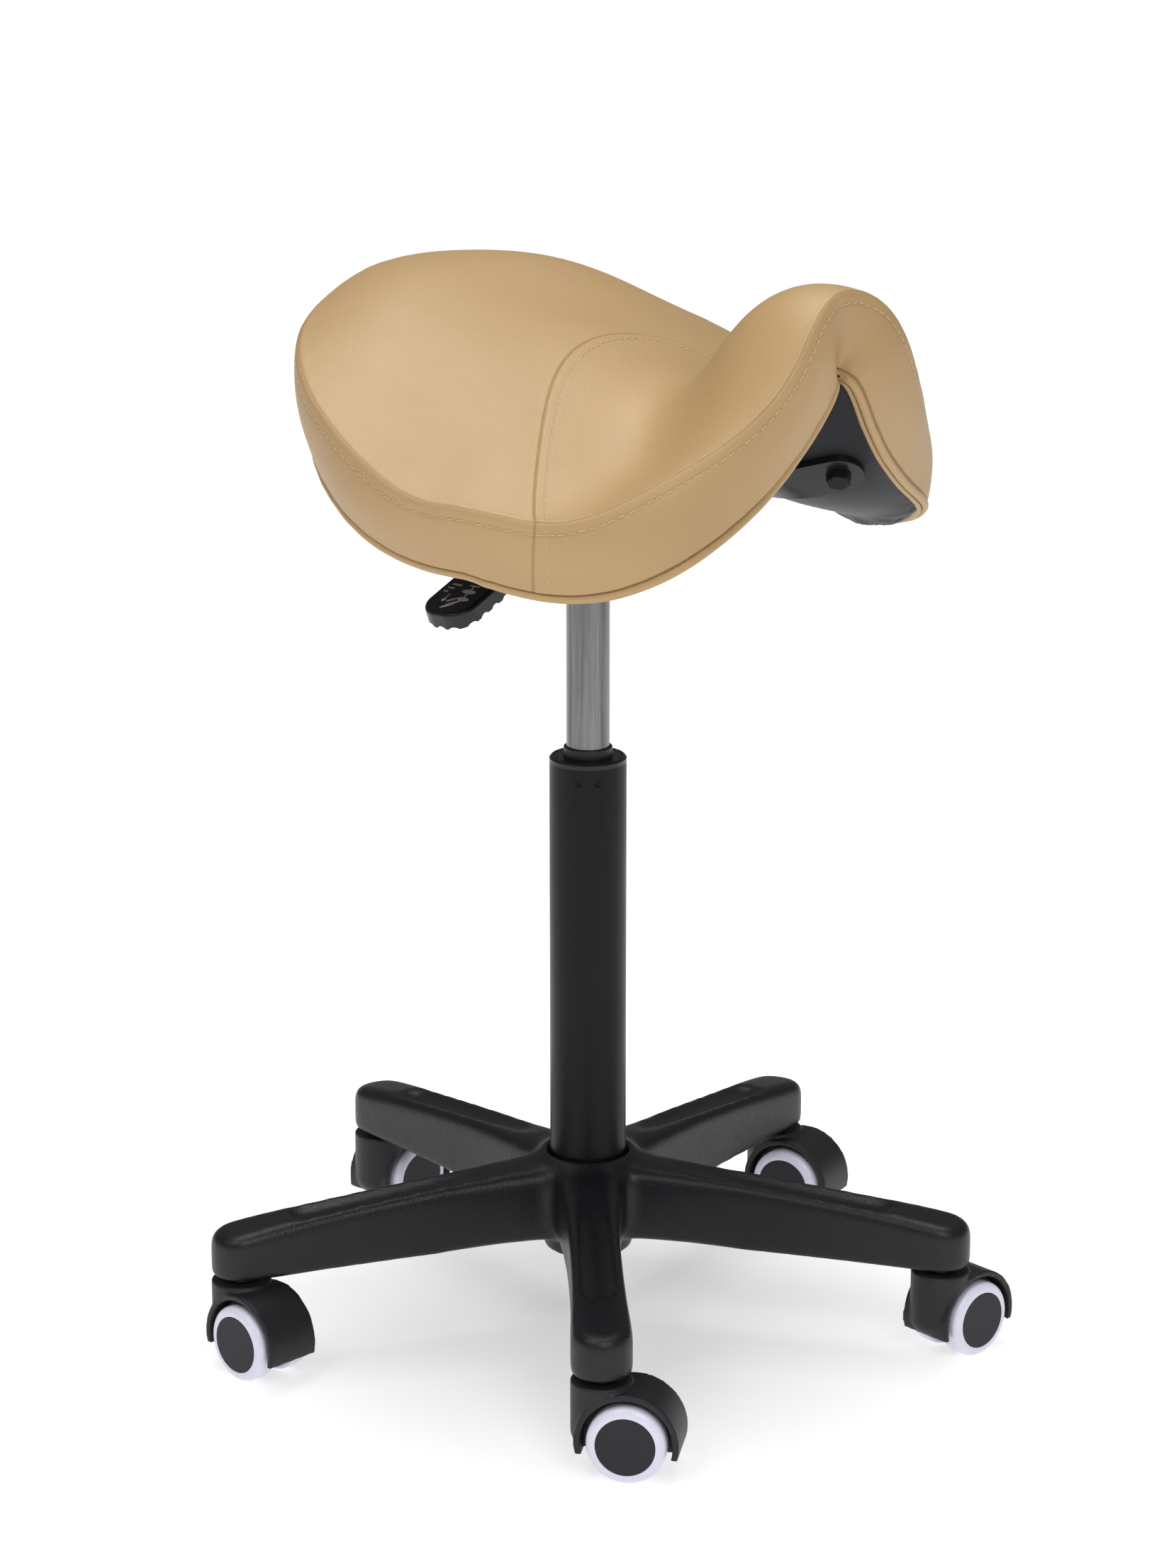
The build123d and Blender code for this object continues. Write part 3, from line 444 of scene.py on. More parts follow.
def brushed_steel(name, color, roughness, stretch):
    """Metal with fine brushing drawn out along the axes with the smaller stretch."""
    made = new_material(name, color, roughness, Metallic=1.0)
    brushing = combine(
        made, "ADD", noise_of(made, object_place(made, stretch), 900, 3, 0.7),
        noise_of(made, object_place(made, stretch), 140, 2),
    )
    patches = noise_of(made, object_place(made), 22, 3)
    bumped(made, brushing, 0.000012)
    worn = combine(made, "ADD", brushing, patches)
    roughened(made, ranged(made, worn, roughness - 0.09, roughness + 0.13, 0.8, 1.6))
    dull = tuple(0.35 * channel for channel in color)
    shift_color(made, ranged(made, brushing, 0, 1, 0.7, 1.3), dull, color)
    return made


def wheel_white():
    made = new_material("wheel_white", (0.74, 0.74, 0.88), 0.3, Subsurface_Weight=0.12, Coat_Weight=0.15)
    made.node_tree.nodes["Principled BSDF"].inputs["Subsurface Radius"].default_value = (0.003, 0.003, 0.003)
    place = object_place(made)
    bumped(made, noise_of(made, place, 260, 2), 0.00003)
    shift_color(made, noise_of(made, place, 60, 4), (0.70, 0.70, 0.85), (0.79, 0.79, 0.91))
    roughened(made, ranged(made, noise_of(made, place, 120, 3), 0.24, 0.38))
    return made


def print_white():
    made = new_material("print_white", (0.75, 0.77, 0.8), 0.5)
    place = object_place(made)
    shift_color(made, noise_of(made, place, 900, 3), (0.55, 0.57, 0.6), (0.82, 0.84, 0.87))
    return made


leather = tan_leatherette()
thread = tan_thread()
dark_thread = black_thread()
lining = lining_cloth()
nylon = moulded_black("black_nylon", (0.006, 0.006, 0.008), 0.40, 0.0016, 0.00014, gloss=0.36)
hood_plastic = moulded_black("hood_plastic", (0.011, 0.011, 0.013), 0.46, 0.0009, 0.00009)
cap_plastic = moulded_black("cap_plastic", (0.012, 0.012, 0.016), 0.50, 0.0006, 0.00003)
lever_plastic = moulded_black("lever_plastic", (0.009, 0.009, 0.010), 0.30, 0.0007, 0.00003)
bearing_plastic = moulded_black("bearing_plastic", (0.010, 0.010, 0.011), 0.33, 0.0009, 0.00002)
shell_plastic = moulded_black("shell_plastic", (0.03, 0.03, 0.032), 0.5, 0.001, 0.00004)
rubber = moulded_black("black_rubber", (0.012, 0.012, 0.012), 0.42, 0.0008, 0.00002)
column_paint = painted_black("column_paint", 0.40, 0.00002)
frame_paint = painted_black("frame_paint", 0.24, 0.00002, gloss=0.65)
bolt_black = painted_black("black_bolt", 0.36, 0.00001)
chrome = brushed_steel("brushed_chrome", (0.25, 0.25, 0.255), 0.22, (1, 1, 0.02))
steel = brushed_steel("bare_steel", (0.56, 0.56, 0.58), 0.3, (1, 1, 1))
white_plastic = wheel_white()
white_print = print_white()


# ---------------------------------------------------------------- making pieces
def add_mesh(name, points, faces, made, body, values=None):
    """A smooth mesh piece that rides on a body; points in mm.

    values are shown to the material as "groove"."""
    mesh = bpy.data.meshes.new(name)
    mesh.from_pydata((np.asarray(points) * MM).tolist(), [], [tuple(face) for face in faces])
    mesh.update()
    mesh.polygons.foreach_set("use_smooth", np.ones(len(mesh.polygons), bool))
    mesh.materials.append(made)
    # values, where given, are painted shade: the leather is darkened where they are high.
    if values is not None:
        shown = mesh.attributes.new("groove_shade", "FLOAT", "POINT")
        shown.data.foreach_set("value", np.asarray(values, np.float32))
    piece = bpy.data.objects.new(name, mesh)
    bpy.context.scene.collection.objects.link(piece)
    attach(piece, body)
    return piece


def tube_along(path, radii, sides=8):
    """Points and quads of a tube with closed ends along a path (mm)."""
    path = np.asarray(path, float)
    radii = np.broadcast_to(radii, len(path))
    heading = unit(np.gradient(path, axis=0))
    level = np.array([0.31, 0.17, 0.93])
    side = unit(np.cross(heading, level))
    up = np.cross(side, heading)
    turn = np.linspace(0, 2 * np.pi, sides, endpoint=False)
    ring = np.cos(turn)[:, None, None] * side + np.sin(turn)[:, None, None] * up
    points = (path + ring * radii[:, None]).transpose(1, 0, 2).reshape(-1, 3)
    faces = []
    for row in range(len(path) - 1):
        for k in range(sides):
            nxt = (k + 1) % sides
            faces.append((row * sides + k, row * sides + nxt, (row + 1) * sides + nxt, (row + 1) * sides + k))
    faces.append(tuple(range(sides - 1, -1, -1)))
    last = (len(path) - 1) * sides
    faces.append(tuple(range(last, last + sides)))
    return points, faces


def joined(parts):
    """Several (points, faces) pairs as one."""
    points, faces, count = [], [], 0
    for part_points, part_faces in parts:
        points.append(part_points)
        faces += [tuple(index + count for index in face) for face in part_faces]
        count += len(part_points)
    return np.concatenate(points), faces


def stitched(line, normals, pitch, thickness, share=0.76, closed=False):
    """A row of stitches along a line of points (mm): short threads that dive into the cover at both ends."""
    line = np.asarray(line, float)
    normals = np.asarray(normals, float)
    if closed:
        line = np.concatenate([line, line[:1]])
        normals = np.concatenate([normals, normals[:1]])
    steps = np.linalg.norm(np.diff(line, axis=0), axis=1)
    arc = np.concatenate([[0], np.cumsum(steps)])
    count = max(1, int(round(arc[-1] / pitch)))
    pitch = arc[-1] / count
    shares = np.array([0, 0.1, 0.26, 0.5, 0.74, 0.9, 1])
    lift = np.array([-0.55, 0.05, 0.3, 0.42, 0.3, 0.05, -0.55]) * thickness * 2
    width = np.array([0.6, 1.0, 1.05, 1.0, 1.05, 1.0, 0.6]) * thickness
    parts = []
    for k in range(count):
        wander = 0.06 * math.sin(k * 2.4) + 0.04 * math.sin(k * 5.1)
        at = (k + 0.5 + wander + (shares - 0.5) * share) * pitch
        place = np.stack([np.interp(at, arc, line[:, axis]) for axis in range(3)], 1)
        up = unit(np.stack([np.interp(at, arc, normals[:, axis]) for axis in range(3)], 1))
        aside = np.cross(unit(np.gradient(place, axis=0)), up) * (0.16 * math.sin(k * 1.7))
        parts.append(tube_along(place + up * lift[:, None] + aside, width, 7))
    return joined(parts)


# ---------------------------------------------------------------- seat cover
SIDE_ROWS = 9
PIN_STRENGTH = 1.0
SWELL_CAP = 3.0             # mm, how far the cover may swell away from the moulded foam
SWELL_SHARE = 0.7           # how much of the capped swelling is kept
PRESSURE = 4
LAST_FRAME = 20


def evened(moved, faces, held, passes=10):
    """Moves averaged with those of their neighbours; held points stay.

    It keeps the creases of the coarse grid from showing in the fine one."""
    ends = np.concatenate([faces, np.roll(faces, 1, axis=1)], axis=1).reshape(len(faces), 2, -1)
    first, second = ends[:, 0].ravel(), ends[:, 1].ravel()
    for _ in range(passes):
        total = np.zeros_like(moved)
        count = np.zeros(len(moved))
        for here, there in ((first, second), (second, first)):
            np.add.at(total, here, moved[there])
            np.add.at(count, here, 1)
        moved = 0.5 * moved + 0.5 * total / np.maximum(count, 1)[:, None]
        moved[held] = 0
    return moved


def swollen_cover():
    """Blow the sewn cover up over the foam with its seams held, and return how far each point moved.

    The cover is a coarse grid: its moves are read back by the fine grid below."""
    lines = np.linspace(-1, 1, 51)
    grid = SeatGrid(lines, lines, [0.90, 0.925, 0.95, 0.975, 1.0])
    depths = np.linspace(0, BAND_DEPTH, SIDE_ROWS)
    points = [grid.points - 0.8 * grid.normals]
    points[0][grid.loops[-1]] = grid.border
    faces = [grid.faces()]
    above = grid.loops[-1]
    count = len(grid.points)
    for depth in depths[1:]:
        points.append(grid.side_points(bulge(depth) - 0.8 * math.sin(np.pi * depth / BAND_DEPTH), depth))
        row = np.arange(count, count + len(above))
        faces.append(strip_faces(above, row))
        above = row
        count += len(row)
    points = np.concatenate(points)
    faces = np.concatenate(faces)
    held = np.zeros(count, bool)
    held[grid.loops[-1]] = True
    held[above] = True
    held[:len(grid.x)] |= np.abs(grid.x) < 1e-6
    seam_columns = np.abs(np.cos(grid.angle)) < 1e-6
    for row in range(1, SIDE_ROWS):
        first = len(grid.x) + (row - 1) * len(grid.angle)
        held[first:first + len(grid.angle)][seam_columns] = True
    moved = np.zeros_like(points)
    mesh = bpy.data.meshes.new("cover_trial")
    mesh.from_pydata((points * MM).tolist(), [], faces.tolist())
    trial = bpy.data.objects.new("cover_trial", mesh)
    bpy.context.scene.collection.objects.link(trial)
    group = trial.vertex_groups.new(name="seams")
    group.add(np.nonzero(held)[0].tolist(), PIN_STRENGTH, "REPLACE")
    cloth = trial.modifiers.new("swell", "CLOTH")
    cloth.settings.quality = 6
    cloth.settings.mass = 0.4
    cloth.settings.tension_stiffness = 40
    cloth.settings.compression_stiffness = 40
    cloth.settings.shear_stiffness = 20
    cloth.settings.bending_stiffness = 2.0
    cloth.settings.vertex_group_mass = "seams"
    cloth.settings.use_pressure = True
    cloth.settings.uniform_pressure_force = PRESSURE
    cloth.settings.effector_weights.gravity = 0
    cloth.collision_settings.use_collision = False
    cloth.point_cache.frame_start = 1
    cloth.point_cache.frame_end = LAST_FRAME
    for moment in range(1, LAST_FRAME + 1):
        bpy.context.scene.frame_set(moment)
    shaped = trial.evaluated_get(bpy.context.evaluated_depsgraph_get())
    ends = np.array([vertex.co for vertex in shaped.data.vertices]) / MM
    moved = ends - points
    bpy.context.scene.frame_set(1)
    bpy.data.objects.remove(trial)
    moved = evened(moved, faces, held)
    length = np.linalg.norm(moved, axis=1)
    moved *= (SWELL_SHARE * np.tanh(length / SWELL_CAP) * SWELL_CAP / np.maximum(length, 1e-6))[:, None]
    return grid, depths, moved


SEAM_LINES = [0, 0.5, 1.0, 1.6, 2.4, 3.6, 4.8, 5.7, 6.5, 7.3, 8.3, 10]
EDGE_LINES = [20, 17, 14, 11.5, 9.4, 7.6, 6, 4.6, 3.4, 2.5, 1.8, 1.2, 0.7, 0.3, 0]
SIDE_DEPTHS = [0.3, 0.7, 1.2, 1.8, 2.6, 3.6, 4.8, 5.8, 6.3, 6.8, 7.3, 7.8, 8.8, 10.4]
BORDER_STITCH = 6.8         # depth of the top-stitching under the border seam
DISC = 200.0                # mm that one unit of the disc spans, roughly
SEAM_DEPTH = 0.9            # mm that a seam is drawn in, and half its width
SEAM_WIDTH = 0.75


def seam_profile(distance):
    """Height of the cover across the transverse seam and the stitching ahead of it."""
    profile = -0.7 * SEAM_DEPTH * dip(distance, 0.8 * SEAM_WIDTH) + 0.16 * dip(np.abs(distance) - 2.0, 1.3)
    near = np.clip(distance, -20, 20)
    under_seam = 0.28 / (1 + np.exp(-2.5 * near)) / (1 + np.exp(2.5 * (near - 8.5)))
    return profile + under_seam - 0.3 * dip(distance - CROSS_STITCH_AHEAD, 0.8)


def cover_points(grid, coarse, coarse_depths, moved):
    """Fine points of the sewn cover, row by row, with the seams, puckers and folds in them."""
    lines_x = smooth_weights(coarse.block_x, grid.block_x)
    lines_y = smooth_weights(coarse.block_y, grid.block_y)
    count = len(coarse.block_x) * len(coarse.block_y)
    turns = np.concatenate([coarse.angle[-4:] - 2 * np.pi, coarse.angle, coarse.angle[:4] + 2 * np.pi])
    fine_turn = coarse.angle[0] + np.mod(grid.angle - coarse.angle[0], 2 * np.pi)
    round_weights = smooth_weights(turns, fine_turn)

    def round_read(rows):
        padded = np.concatenate([rows[:, -4:], rows, rows[:, :4]], 1)
        return np.einsum("ak,rkc->rac", round_weights, padded)

    block = np.einsum("ai,bj,ijc->abc", lines_x, lines_y, moved[:count].reshape(*coarse.shape, 3))
    ring_rows = np.array([moved[loop] for loop in coarse.loops])
    ring_weights = smooth_weights(1 - coarse.rings[::-1], 1 - grid.rings)[:, ::-1]
    rings = np.einsum("ar,rkc->akc", ring_weights, round_read(ring_rows))
    top_moved = np.concatenate([block.reshape(-1, 3)] + list(rings[1:]))

    across_seam = grid.seam_distance()
    radius = np.hypot(grid.x, grid.y)
    from_edge = (1 - radius) * DISC
    turn = np.mod(np.arctan2(grid.y, grid.x), 2 * np.pi)
    order = np.argsort(np.mod(grid.angle, 2 * np.pi))
    arc = np.interp(turn, np.mod(grid.angle, 2 * np.pi)[order], grid.arc[order], period=2 * np.pi)
    edge_pucker = wave(np.stack([arc, from_edge * 0.3, 0 * arc], 1), 7.5, 1)
    seam_pucker = wave(np.stack([grid.across, across_seam * 0.3, 0 * arc], 1), 8.0, 2)
    soft = wave(grid.points, 55, 3)
    lift = -SEAM_DEPTH * dip(from_edge, SEAM_WIDTH) + 0.18 * dip(from_edge - 2.4, 1.5)
    lift += 0.24 * edge_pucker * np.exp(-from_edge / 9) * (1 - dip(from_edge, 1.5))
    lift += seam_profile(across_seam) * (1 - dip(from_edge, 1.0))
    lift += 0.16 * seam_pucker * np.exp(-np.abs(across_seam) / 7)
    lift += 0.35 * soft * (1 - dip(from_edge, 6))
    points = grid.points + top_moved + lift[:, None] * grid.normals
    # Painted shade: the leather is darkened in the border seam, in the transverse seam and along the
    # stitching ahead of it.
    groove_shade = 0.9 * dip(from_edge, 0.7) + 0.75 * dip(across_seam, 0.6)
    groove_shade = groove_shade + 0.25 * dip(across_seam - CROSS_STITCH_AHEAD, 0.8)
    last = grid.loops[-1]
    points[last] = grid.border - 0.8 * SEAM_DEPTH * unit(grid.border_normal + grid.border_out)

    side_depths = np.array(SIDE_DEPTHS + list(np.arange(12.5, 44, 2.0)) + [44.6, 45.8, 46.5, BAND_DEPTH])
    side_weights = smooth_weights(coarse_depths, side_depths)
    first = len(coarse.x)
    span = len(coarse.angle)
    side_rows = [moved[coarse.loops[-1]]]
    side_rows += [moved[first + row * span:first + (row + 1) * span] for row in range(len(coarse_depths) - 1)]
    side_moved = np.einsum("dr,rkc->dkc", side_weights, round_read(np.array(side_rows)))
    side_seam = grid.side_seam_distance()
    rows, shades = [], []
    for depth, shift in zip(side_depths, side_moved):
        place = np.stack([grid.arc, np.full_like(grid.arc, depth * 0.3), 0 * grid.arc], 1)
        from_hem = BAND_DEPTH - depth
        out = -SEAM_DEPTH * dip(depth, SEAM_WIDTH) + 0.18 * dip(depth - 2.3, 1.4)
        out += -0.32 * dip(depth - BORDER_STITCH, 0.8) + seam_profile(side_seam) * (1 - dip(depth, 1))
        out += 0.22 * wave(place, 7.5, 1) * math.exp(-depth / 8)
        out += 0.42 * wave(place, 9.0, 4) * math.exp(-from_hem / 9)
        row = grid.side_points(bulge(depth), depth) + shift
        out += 0.55 * wave(row, 42, 5) * min(1, depth / 14) * min(1, from_hem / 6 + 0.4)
        rows.append(rounded_arch(grid, row, depth) + out[:, None] * grid.border_out)
        # Painted shade on the band: darker in the border seam, along its top-stitching and in the side seam.
        shade = 0.9 * dip(depth, 0.7) + 0.3 * dip(depth - BORDER_STITCH, 0.8)
        shades.append(shade + 0.75 * dip(side_seam, 0.6))
    return points, groove_shade, rows, shades


def rounded_arch(grid, row, depth):
    """Round off a loop of side points where it turns under the pommel, the more the deeper it lies."""
    apex = int(np.argmax(grid.border[:, 0]))
    away = np.abs(grid.arc - grid.arc[apex])
    away = np.minimum(away, grid.perimeter - away)
    share = 0.5 * (dip(away, 62) * min(1, depth / 22))[:, None]
    for _ in range(int(3 * depth)):
        row = row + share * ((np.roll(row, 1, 0) + np.roll(row, -1, 0)) / 2 - row)
    return row


def welt_profile():
    """(outward, depth) of the two rolled folds under the band, then the cover turned in under the seat."""
    profile = [(0.0, 47.7), (-0.7, 48.1)]
    for step in range(9):
        turn = math.radians(-62 + 18.5 * step)
        profile.append((-1.5 + 2.9 * math.cos(turn), 51.0 + 2.9 * math.sin(turn)))
    profile += [(-2.6, 53.4), (-3.1, 52.8)]
    for step in range(7):
        turn = math.radians(-30 + 25 * step)
        profile.append((-5.0 + 1.9 * math.cos(turn), 52.9 + 1.9 * math.sin(turn)))
    return profile + [(-7.6, 53.2), (-9.5, 51.8), (-14.0, 50.4)]


def seat_cover():
    coarse, coarse_depths, moved = swollen_cover()
    block = mirrored(SEAM_LINES + list(np.arange(12, 181, 2.0))) / 180
    grid = SeatGrid(block, np.linspace(-1, 1, 181), 1 - np.array(EDGE_LINES) / DISC)
    top, groove_shade, rows, shades = cover_points(grid, coarse, coarse_depths, moved)
    faces = [grid.faces()]
    points = [top]
    values = [groove_shade]
    above = grid.loops[-1]
    count = len(top)

    def add_row(row, shade):
        nonlocal above, count
        points.append(row)
        values.append(np.broadcast_to(shade, len(row)))
        below = np.arange(count, count + len(row))
        faces.append(strip_faces(above, below))
        above = below
        count += len(row)

    for row, shade in zip(rows, shades):
        add_row(row, shade)
    hem_shift = rows[-1] - rounded_arch(grid, grid.side_points(bulge(BAND_DEPTH), BAND_DEPTH), BAND_DEPTH)
    gathers = wave(np.stack([grid.arc, 0 * grid.arc, 0 * grid.arc], 1), 11, 6)
    fine_gathers = wave(np.stack([grid.arc, 0 * grid.arc, 0 * grid.arc], 1), 4.5, 7)
    for outward, depth in welt_profile():
        # Painted shade: the rows in the grooves between the rolled folds are darkened.
        in_groove = dip(depth - 48.0, 0.5) * (outward > -1) + dip(outward + 3.0, 0.35)
        wobble = 0.35 * gathers + 0.18 * fine_gathers * (outward < -1)
        row = rounded_arch(grid, grid.side_points(outward, depth), depth)
        row = row + hem_shift * math.exp(-(depth - BAND_DEPTH) / 3)
        add_row(row + (wobble * (1 - 0.6 * in_groove))[:, None] * grid.border_out, 1.05 * in_groove)
    # The cover turned in under the seat is darkened by painted shade of 0.3.
    add_row(grid.points[grid.loops[0]] - 49.6 * grid.normals[grid.loops[0]], 0.3)
    under = len(grid.block_x) * len(grid.block_y)
    points.append(grid.points[:under] - 49.4 * grid.normals[:under])
    values.append(np.full(under, 0.3))
    faces.append(strip_faces(above, grid.loops[0] + count))
    faces.append(block_faces(*grid.shape, first=count)[:, ::-1])
    cover = add_mesh(
        "seat_cover", np.concatenate(points), np.concatenate(faces), leather, "seat",
        np.concatenate(values),
    )
    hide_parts("seat_cushion")
    return cover, grid


cover, cover_grid = seat_cover()
cover_surface = BVHTree.FromPolygons(
    [vertex.co for vertex in cover.data.vertices], [tuple(face.vertices) for face in cover.data.polygons]
)


def laid_on(surface, points, normals, reach=9.0):
    """Points (mm) dropped along their normals on to a surface, with the surface's normals there."""
    places, ups = [], []
    for point, normal in zip(points, normals):
        start = Vector(point + reach * normal) * MM
        hit, up, _, _ = surface.ray_cast(start, Vector(-normal), 2 * reach * MM)
        if hit is None:
            hit, up = Vector(point) * MM, Vector(normal)
        places.append(np.array(hit) / MM)
        ups.append(np.array(up))
    smoothed = np.array(ups)
    smoothed[1:-1] = smoothed[1:-1] + smoothed[:-2] + smoothed[2:]
    return np.array(places), unit(smoothed)


def cover_stitching(grid):
    """Top-stitching: once round under the border seam, and ahead of the transverse seam from hem to hem."""
    pieces = []
    side = grid.side_points(bulge(BORDER_STITCH), BORDER_STITCH)
    facing = unit(grid.border_out + 0.5 * grid.border_normal)
    places, ups = laid_on(cover_surface, side, facing, 5.0)
    pieces.append(stitched(places, ups, STITCH_PITCH, 0.31, closed=True))
    y = np.linspace(-0.985, 0.985, 260)
    along = SEAM_START + SEAM_BOW * y ** 2 + CROSS_STITCH_AHEAD / SEAM_SLANT
    across = y * half_girth(along)
    places, ups = laid_on(cover_surface, seat_point(along, across), seat_normal(along, across))
    pieces.append(stitched(places, ups, STITCH_PITCH, 0.31))
    seam = grid.side_seam_distance()
    for side_sign in (1, -1):
        on_side = (np.sign(grid.border[:, 1]) == side_sign) & (np.abs(seam) < 20)
        order = np.argsort(seam[on_side])

        def read(values):
            picked = values[on_side][order]
            ahead = seam[on_side][order]
            return np.array([np.interp(CROSS_STITCH_AHEAD, ahead, picked[:, k]) for k in range(3)])

        corner, out, normal = read(grid.border), unit(read(grid.border_out)), unit(read(grid.border_normal))
        depths = np.linspace(2.5, BAND_DEPTH - 1.5, 40)
        line = np.array([corner + bulge(depth) * out - depth * normal for depth in depths])
        places, ups = laid_on(cover_surface, line, np.broadcast_to(out, line.shape), 6.0)
        pieces.append(stitched(places, ups, STITCH_PITCH, 0.31))
    points, faces = joined(pieces)
    return add_mesh("cover_stitching", points, faces, thread, "seat")


cover_stitching(cover_grid)


# ---------------------------------------------------------------- lining under the seat
COVER_EDGE = 0.960          # disc radius where the lining meets the rolled folds
HEM = 9.0                   # mm from the lining's edge to its stitching
LINING_DEPTH = 51.7         # mm below the top surface, where the lining lies on the shell
SEAT_BOLTS = {"front": (115, 88), "rear": (-78, 62)}    # mm along and across the seat


def lining_sheet():
    """The thin black cloth under the seat.

    It is slack over the shell, gathered at its hem and baggy at the flap ends."""
    block = np.linspace(-1, 1, 131)
    inner_rings = [0.86, 0.871, 0.882, 0.893, 0.902, 0.908, 0.912, 0.915, 0.918, 0.922]
    rings = np.array(inner_rings + [0.93, 0.94, 0.95, COVER_EDGE])
    grid = SeatGrid(block, block, rings)
    radius = np.hypot(grid.x, grid.y)
    inside = (COVER_EDGE - radius) * DISC
    turn = np.mod(np.arctan2(grid.y, grid.x), 2 * np.pi)
    order = np.argsort(np.mod(grid.angle, 2 * np.pi))
    arc = np.interp(turn, np.mod(grid.angle, 2 * np.pi)[order], grid.arc[order], period=2 * np.pi)
    low = np.clip((np.abs(grid.across) - 105) / 60, 0, 1) ** 2
    front_low = low * np.clip((grid.along + 30) / 90, 0, 1)
    slack = 0.45 + 0.5 * wave(grid.points, 46, 11) + 0.3 * wave(grid.points, 19, 12)
    drawn = np.stack([arc / 5.5, inside / 26, 0 * arc], 1)
    gathers = (0.5 + 1.5 * low) * wave(drawn, 1.0, 13) * np.exp(-((inside - 7) / 15) ** 2)
    slanted = (np.abs(grid.across) + 0.6 * grid.along) / 42
    pulled = np.stack([grid.along / 11, slanted, np.sign(grid.across)], 1)
    folds = 2.4 * low * np.abs(wave(pulled, 1.0, 14)) * np.clip(inside / 14, 0, 1)
    pouch = 5.0 * front_low * dip(inside - 13, 12)
    hem_dip = -0.55 * dip(inside - HEM, 1.1)
    flat_rise = 0.9 * np.clip(inside / 5, 0, 1) + slack * np.clip(inside / 10, 0, 1)
    rise = flat_rise + gathers + folds + pouch + hem_dip
    for bolt in ("front", "rear"):
        for side in (1, -1):
            spot = SEAT_BOLTS[bolt]
            away = np.linalg.norm(np.stack([grid.along - spot[0], grid.across - side * spot[1]], 1), axis=1)
            rise = rise * (1 - 0.9 * dip(away, 24)) + 0.1 * dip(away, 24)
    depth = LINING_DEPTH + np.maximum(rise, -0.4)
    points = grid.points - depth[:, None] * grid.normals
    top_faces = grid.faces()
    # the sheet's true area is about 0.112 m2, and its flat size is an estimate; half the product of each
    # face's diagonals, not worked out here, would come out about a third larger, being too much where a face
    # is skewed
    sheet = add_mesh("seat_lining", points, top_faces[:, ::-1], lining, "seat")
    thickness = sheet.modifiers.new("thickness", "SOLIDIFY")
    thickness.thickness = 0.4 * MM
    thickness.offset = -1
    bpy.context.view_layer.objects.active = sheet
    bpy.ops.object.modifier_apply(modifier="thickness")
    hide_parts("under_cover")
    hem_loop = int(np.argmin(np.abs(rings - (COVER_EDGE - HEM / DISC))))
    loop = grid.loops[hem_loop]
    line = points[loop] - 0.1 * grid.normals[loop]
    stitches, faces = stitched(line, -grid.normals[loop], 5.0, 0.34, closed=True)
    add_mesh("lining_stitching", stitches, faces, dark_thread, "seat")


lining_sheet()


# ---------------------------------------------------------------- release lever
PADDLE_ROOT = np.array([12.0, -82.0, 535.0])
PADDLE_DROOP = math.radians(22)
PADDLE_HALF = 5.5
paddle_run = np.array([0, -math.cos(PADDLE_DROOP), -math.sin(PADDLE_DROOP)])
paddle_up = np.array([0, -math.sin(PADDLE_DROOP), math.cos(PADDLE_DROOP)])
paddle_side = np.cross(paddle_up, paddle_run)


def ellipse(center, half_length, half_width, turn=0.0):
    angles = np.linspace(0, 2 * np.pi, 28, endpoint=False)
    a = half_length * np.cos(angles)
    b = half_width * np.sin(angles)
    return [
        (
            center[0] + p * math.cos(turn) - q * math.sin(turn),
            center[1] + p * math.sin(turn) + q * math.cos(turn),
        )
        for p, q in zip(a, b)
    ]


def bar(start, end, width):
    start, end = np.array(start, float), np.array(end, float)
    along = (end - start) / np.linalg.norm(end - start)
    across = np.array([-along[1], along[0]]) * width / 2
    return [tuple(start - across), tuple(end - across), tuple(end + across), tuple(start + across)]


def lever_marks():
    """Plain printed marks on the paddle: ellipses, bars and an arrow head, with no words."""
    outlines = [
        ellipse((52, 4.5), 2.2, 5.2), ellipse((60, 6.0), 2.0, 4.6),
        bar((54, 4.8), (58.2, 5.7), 1.1), bar((45.5, 4.2), (50, 4.4), 1.1), bar((45.5, 0.5), (45.5, 8), 1.1),
        ellipse((65, 2.5), 1.1, 5.4, 0.75), ellipse((68.5, 0.5), 1.1, 5.0, 0.75),
        ellipse((62.5, -1.0), 0.9, 3.6, 0.75),
        bar((57, -6.5), (63, -6.5), 0.9), [(63, -8.4), (66, -6.5), (63, -4.6)],
        bar((47, -12.5), (47, -5), 1.3), bar((51, -13), (51, -8), 1.3), bar((55, -13.5), (55, -10), 1.3),
    ]
    points, faces = [], []
    for outline in outlines:
        first = len(points)
        size = len(outline)
        for lift in (-0.02, 0.09):
            for a, b in outline:
                place = PADDLE_ROOT + a * paddle_run + b * paddle_side + (PADDLE_HALF + lift) * paddle_up
                points.append(place)
        faces.append(tuple(range(first + size, first + 2 * size)))
        faces.append(tuple(range(first + size - 1, first - 1, -1)))
        for k in range(size):
            nxt = (k + 1) % size
            faces.append((first + k, first + nxt, first + size + nxt, first + size + k))
    marks = add_mesh("lever_marks", points, faces, white_print, "lever")
    marks.data.polygons.foreach_set("use_smooth", np.zeros(len(marks.data.polygons), bool))


lever_marks()


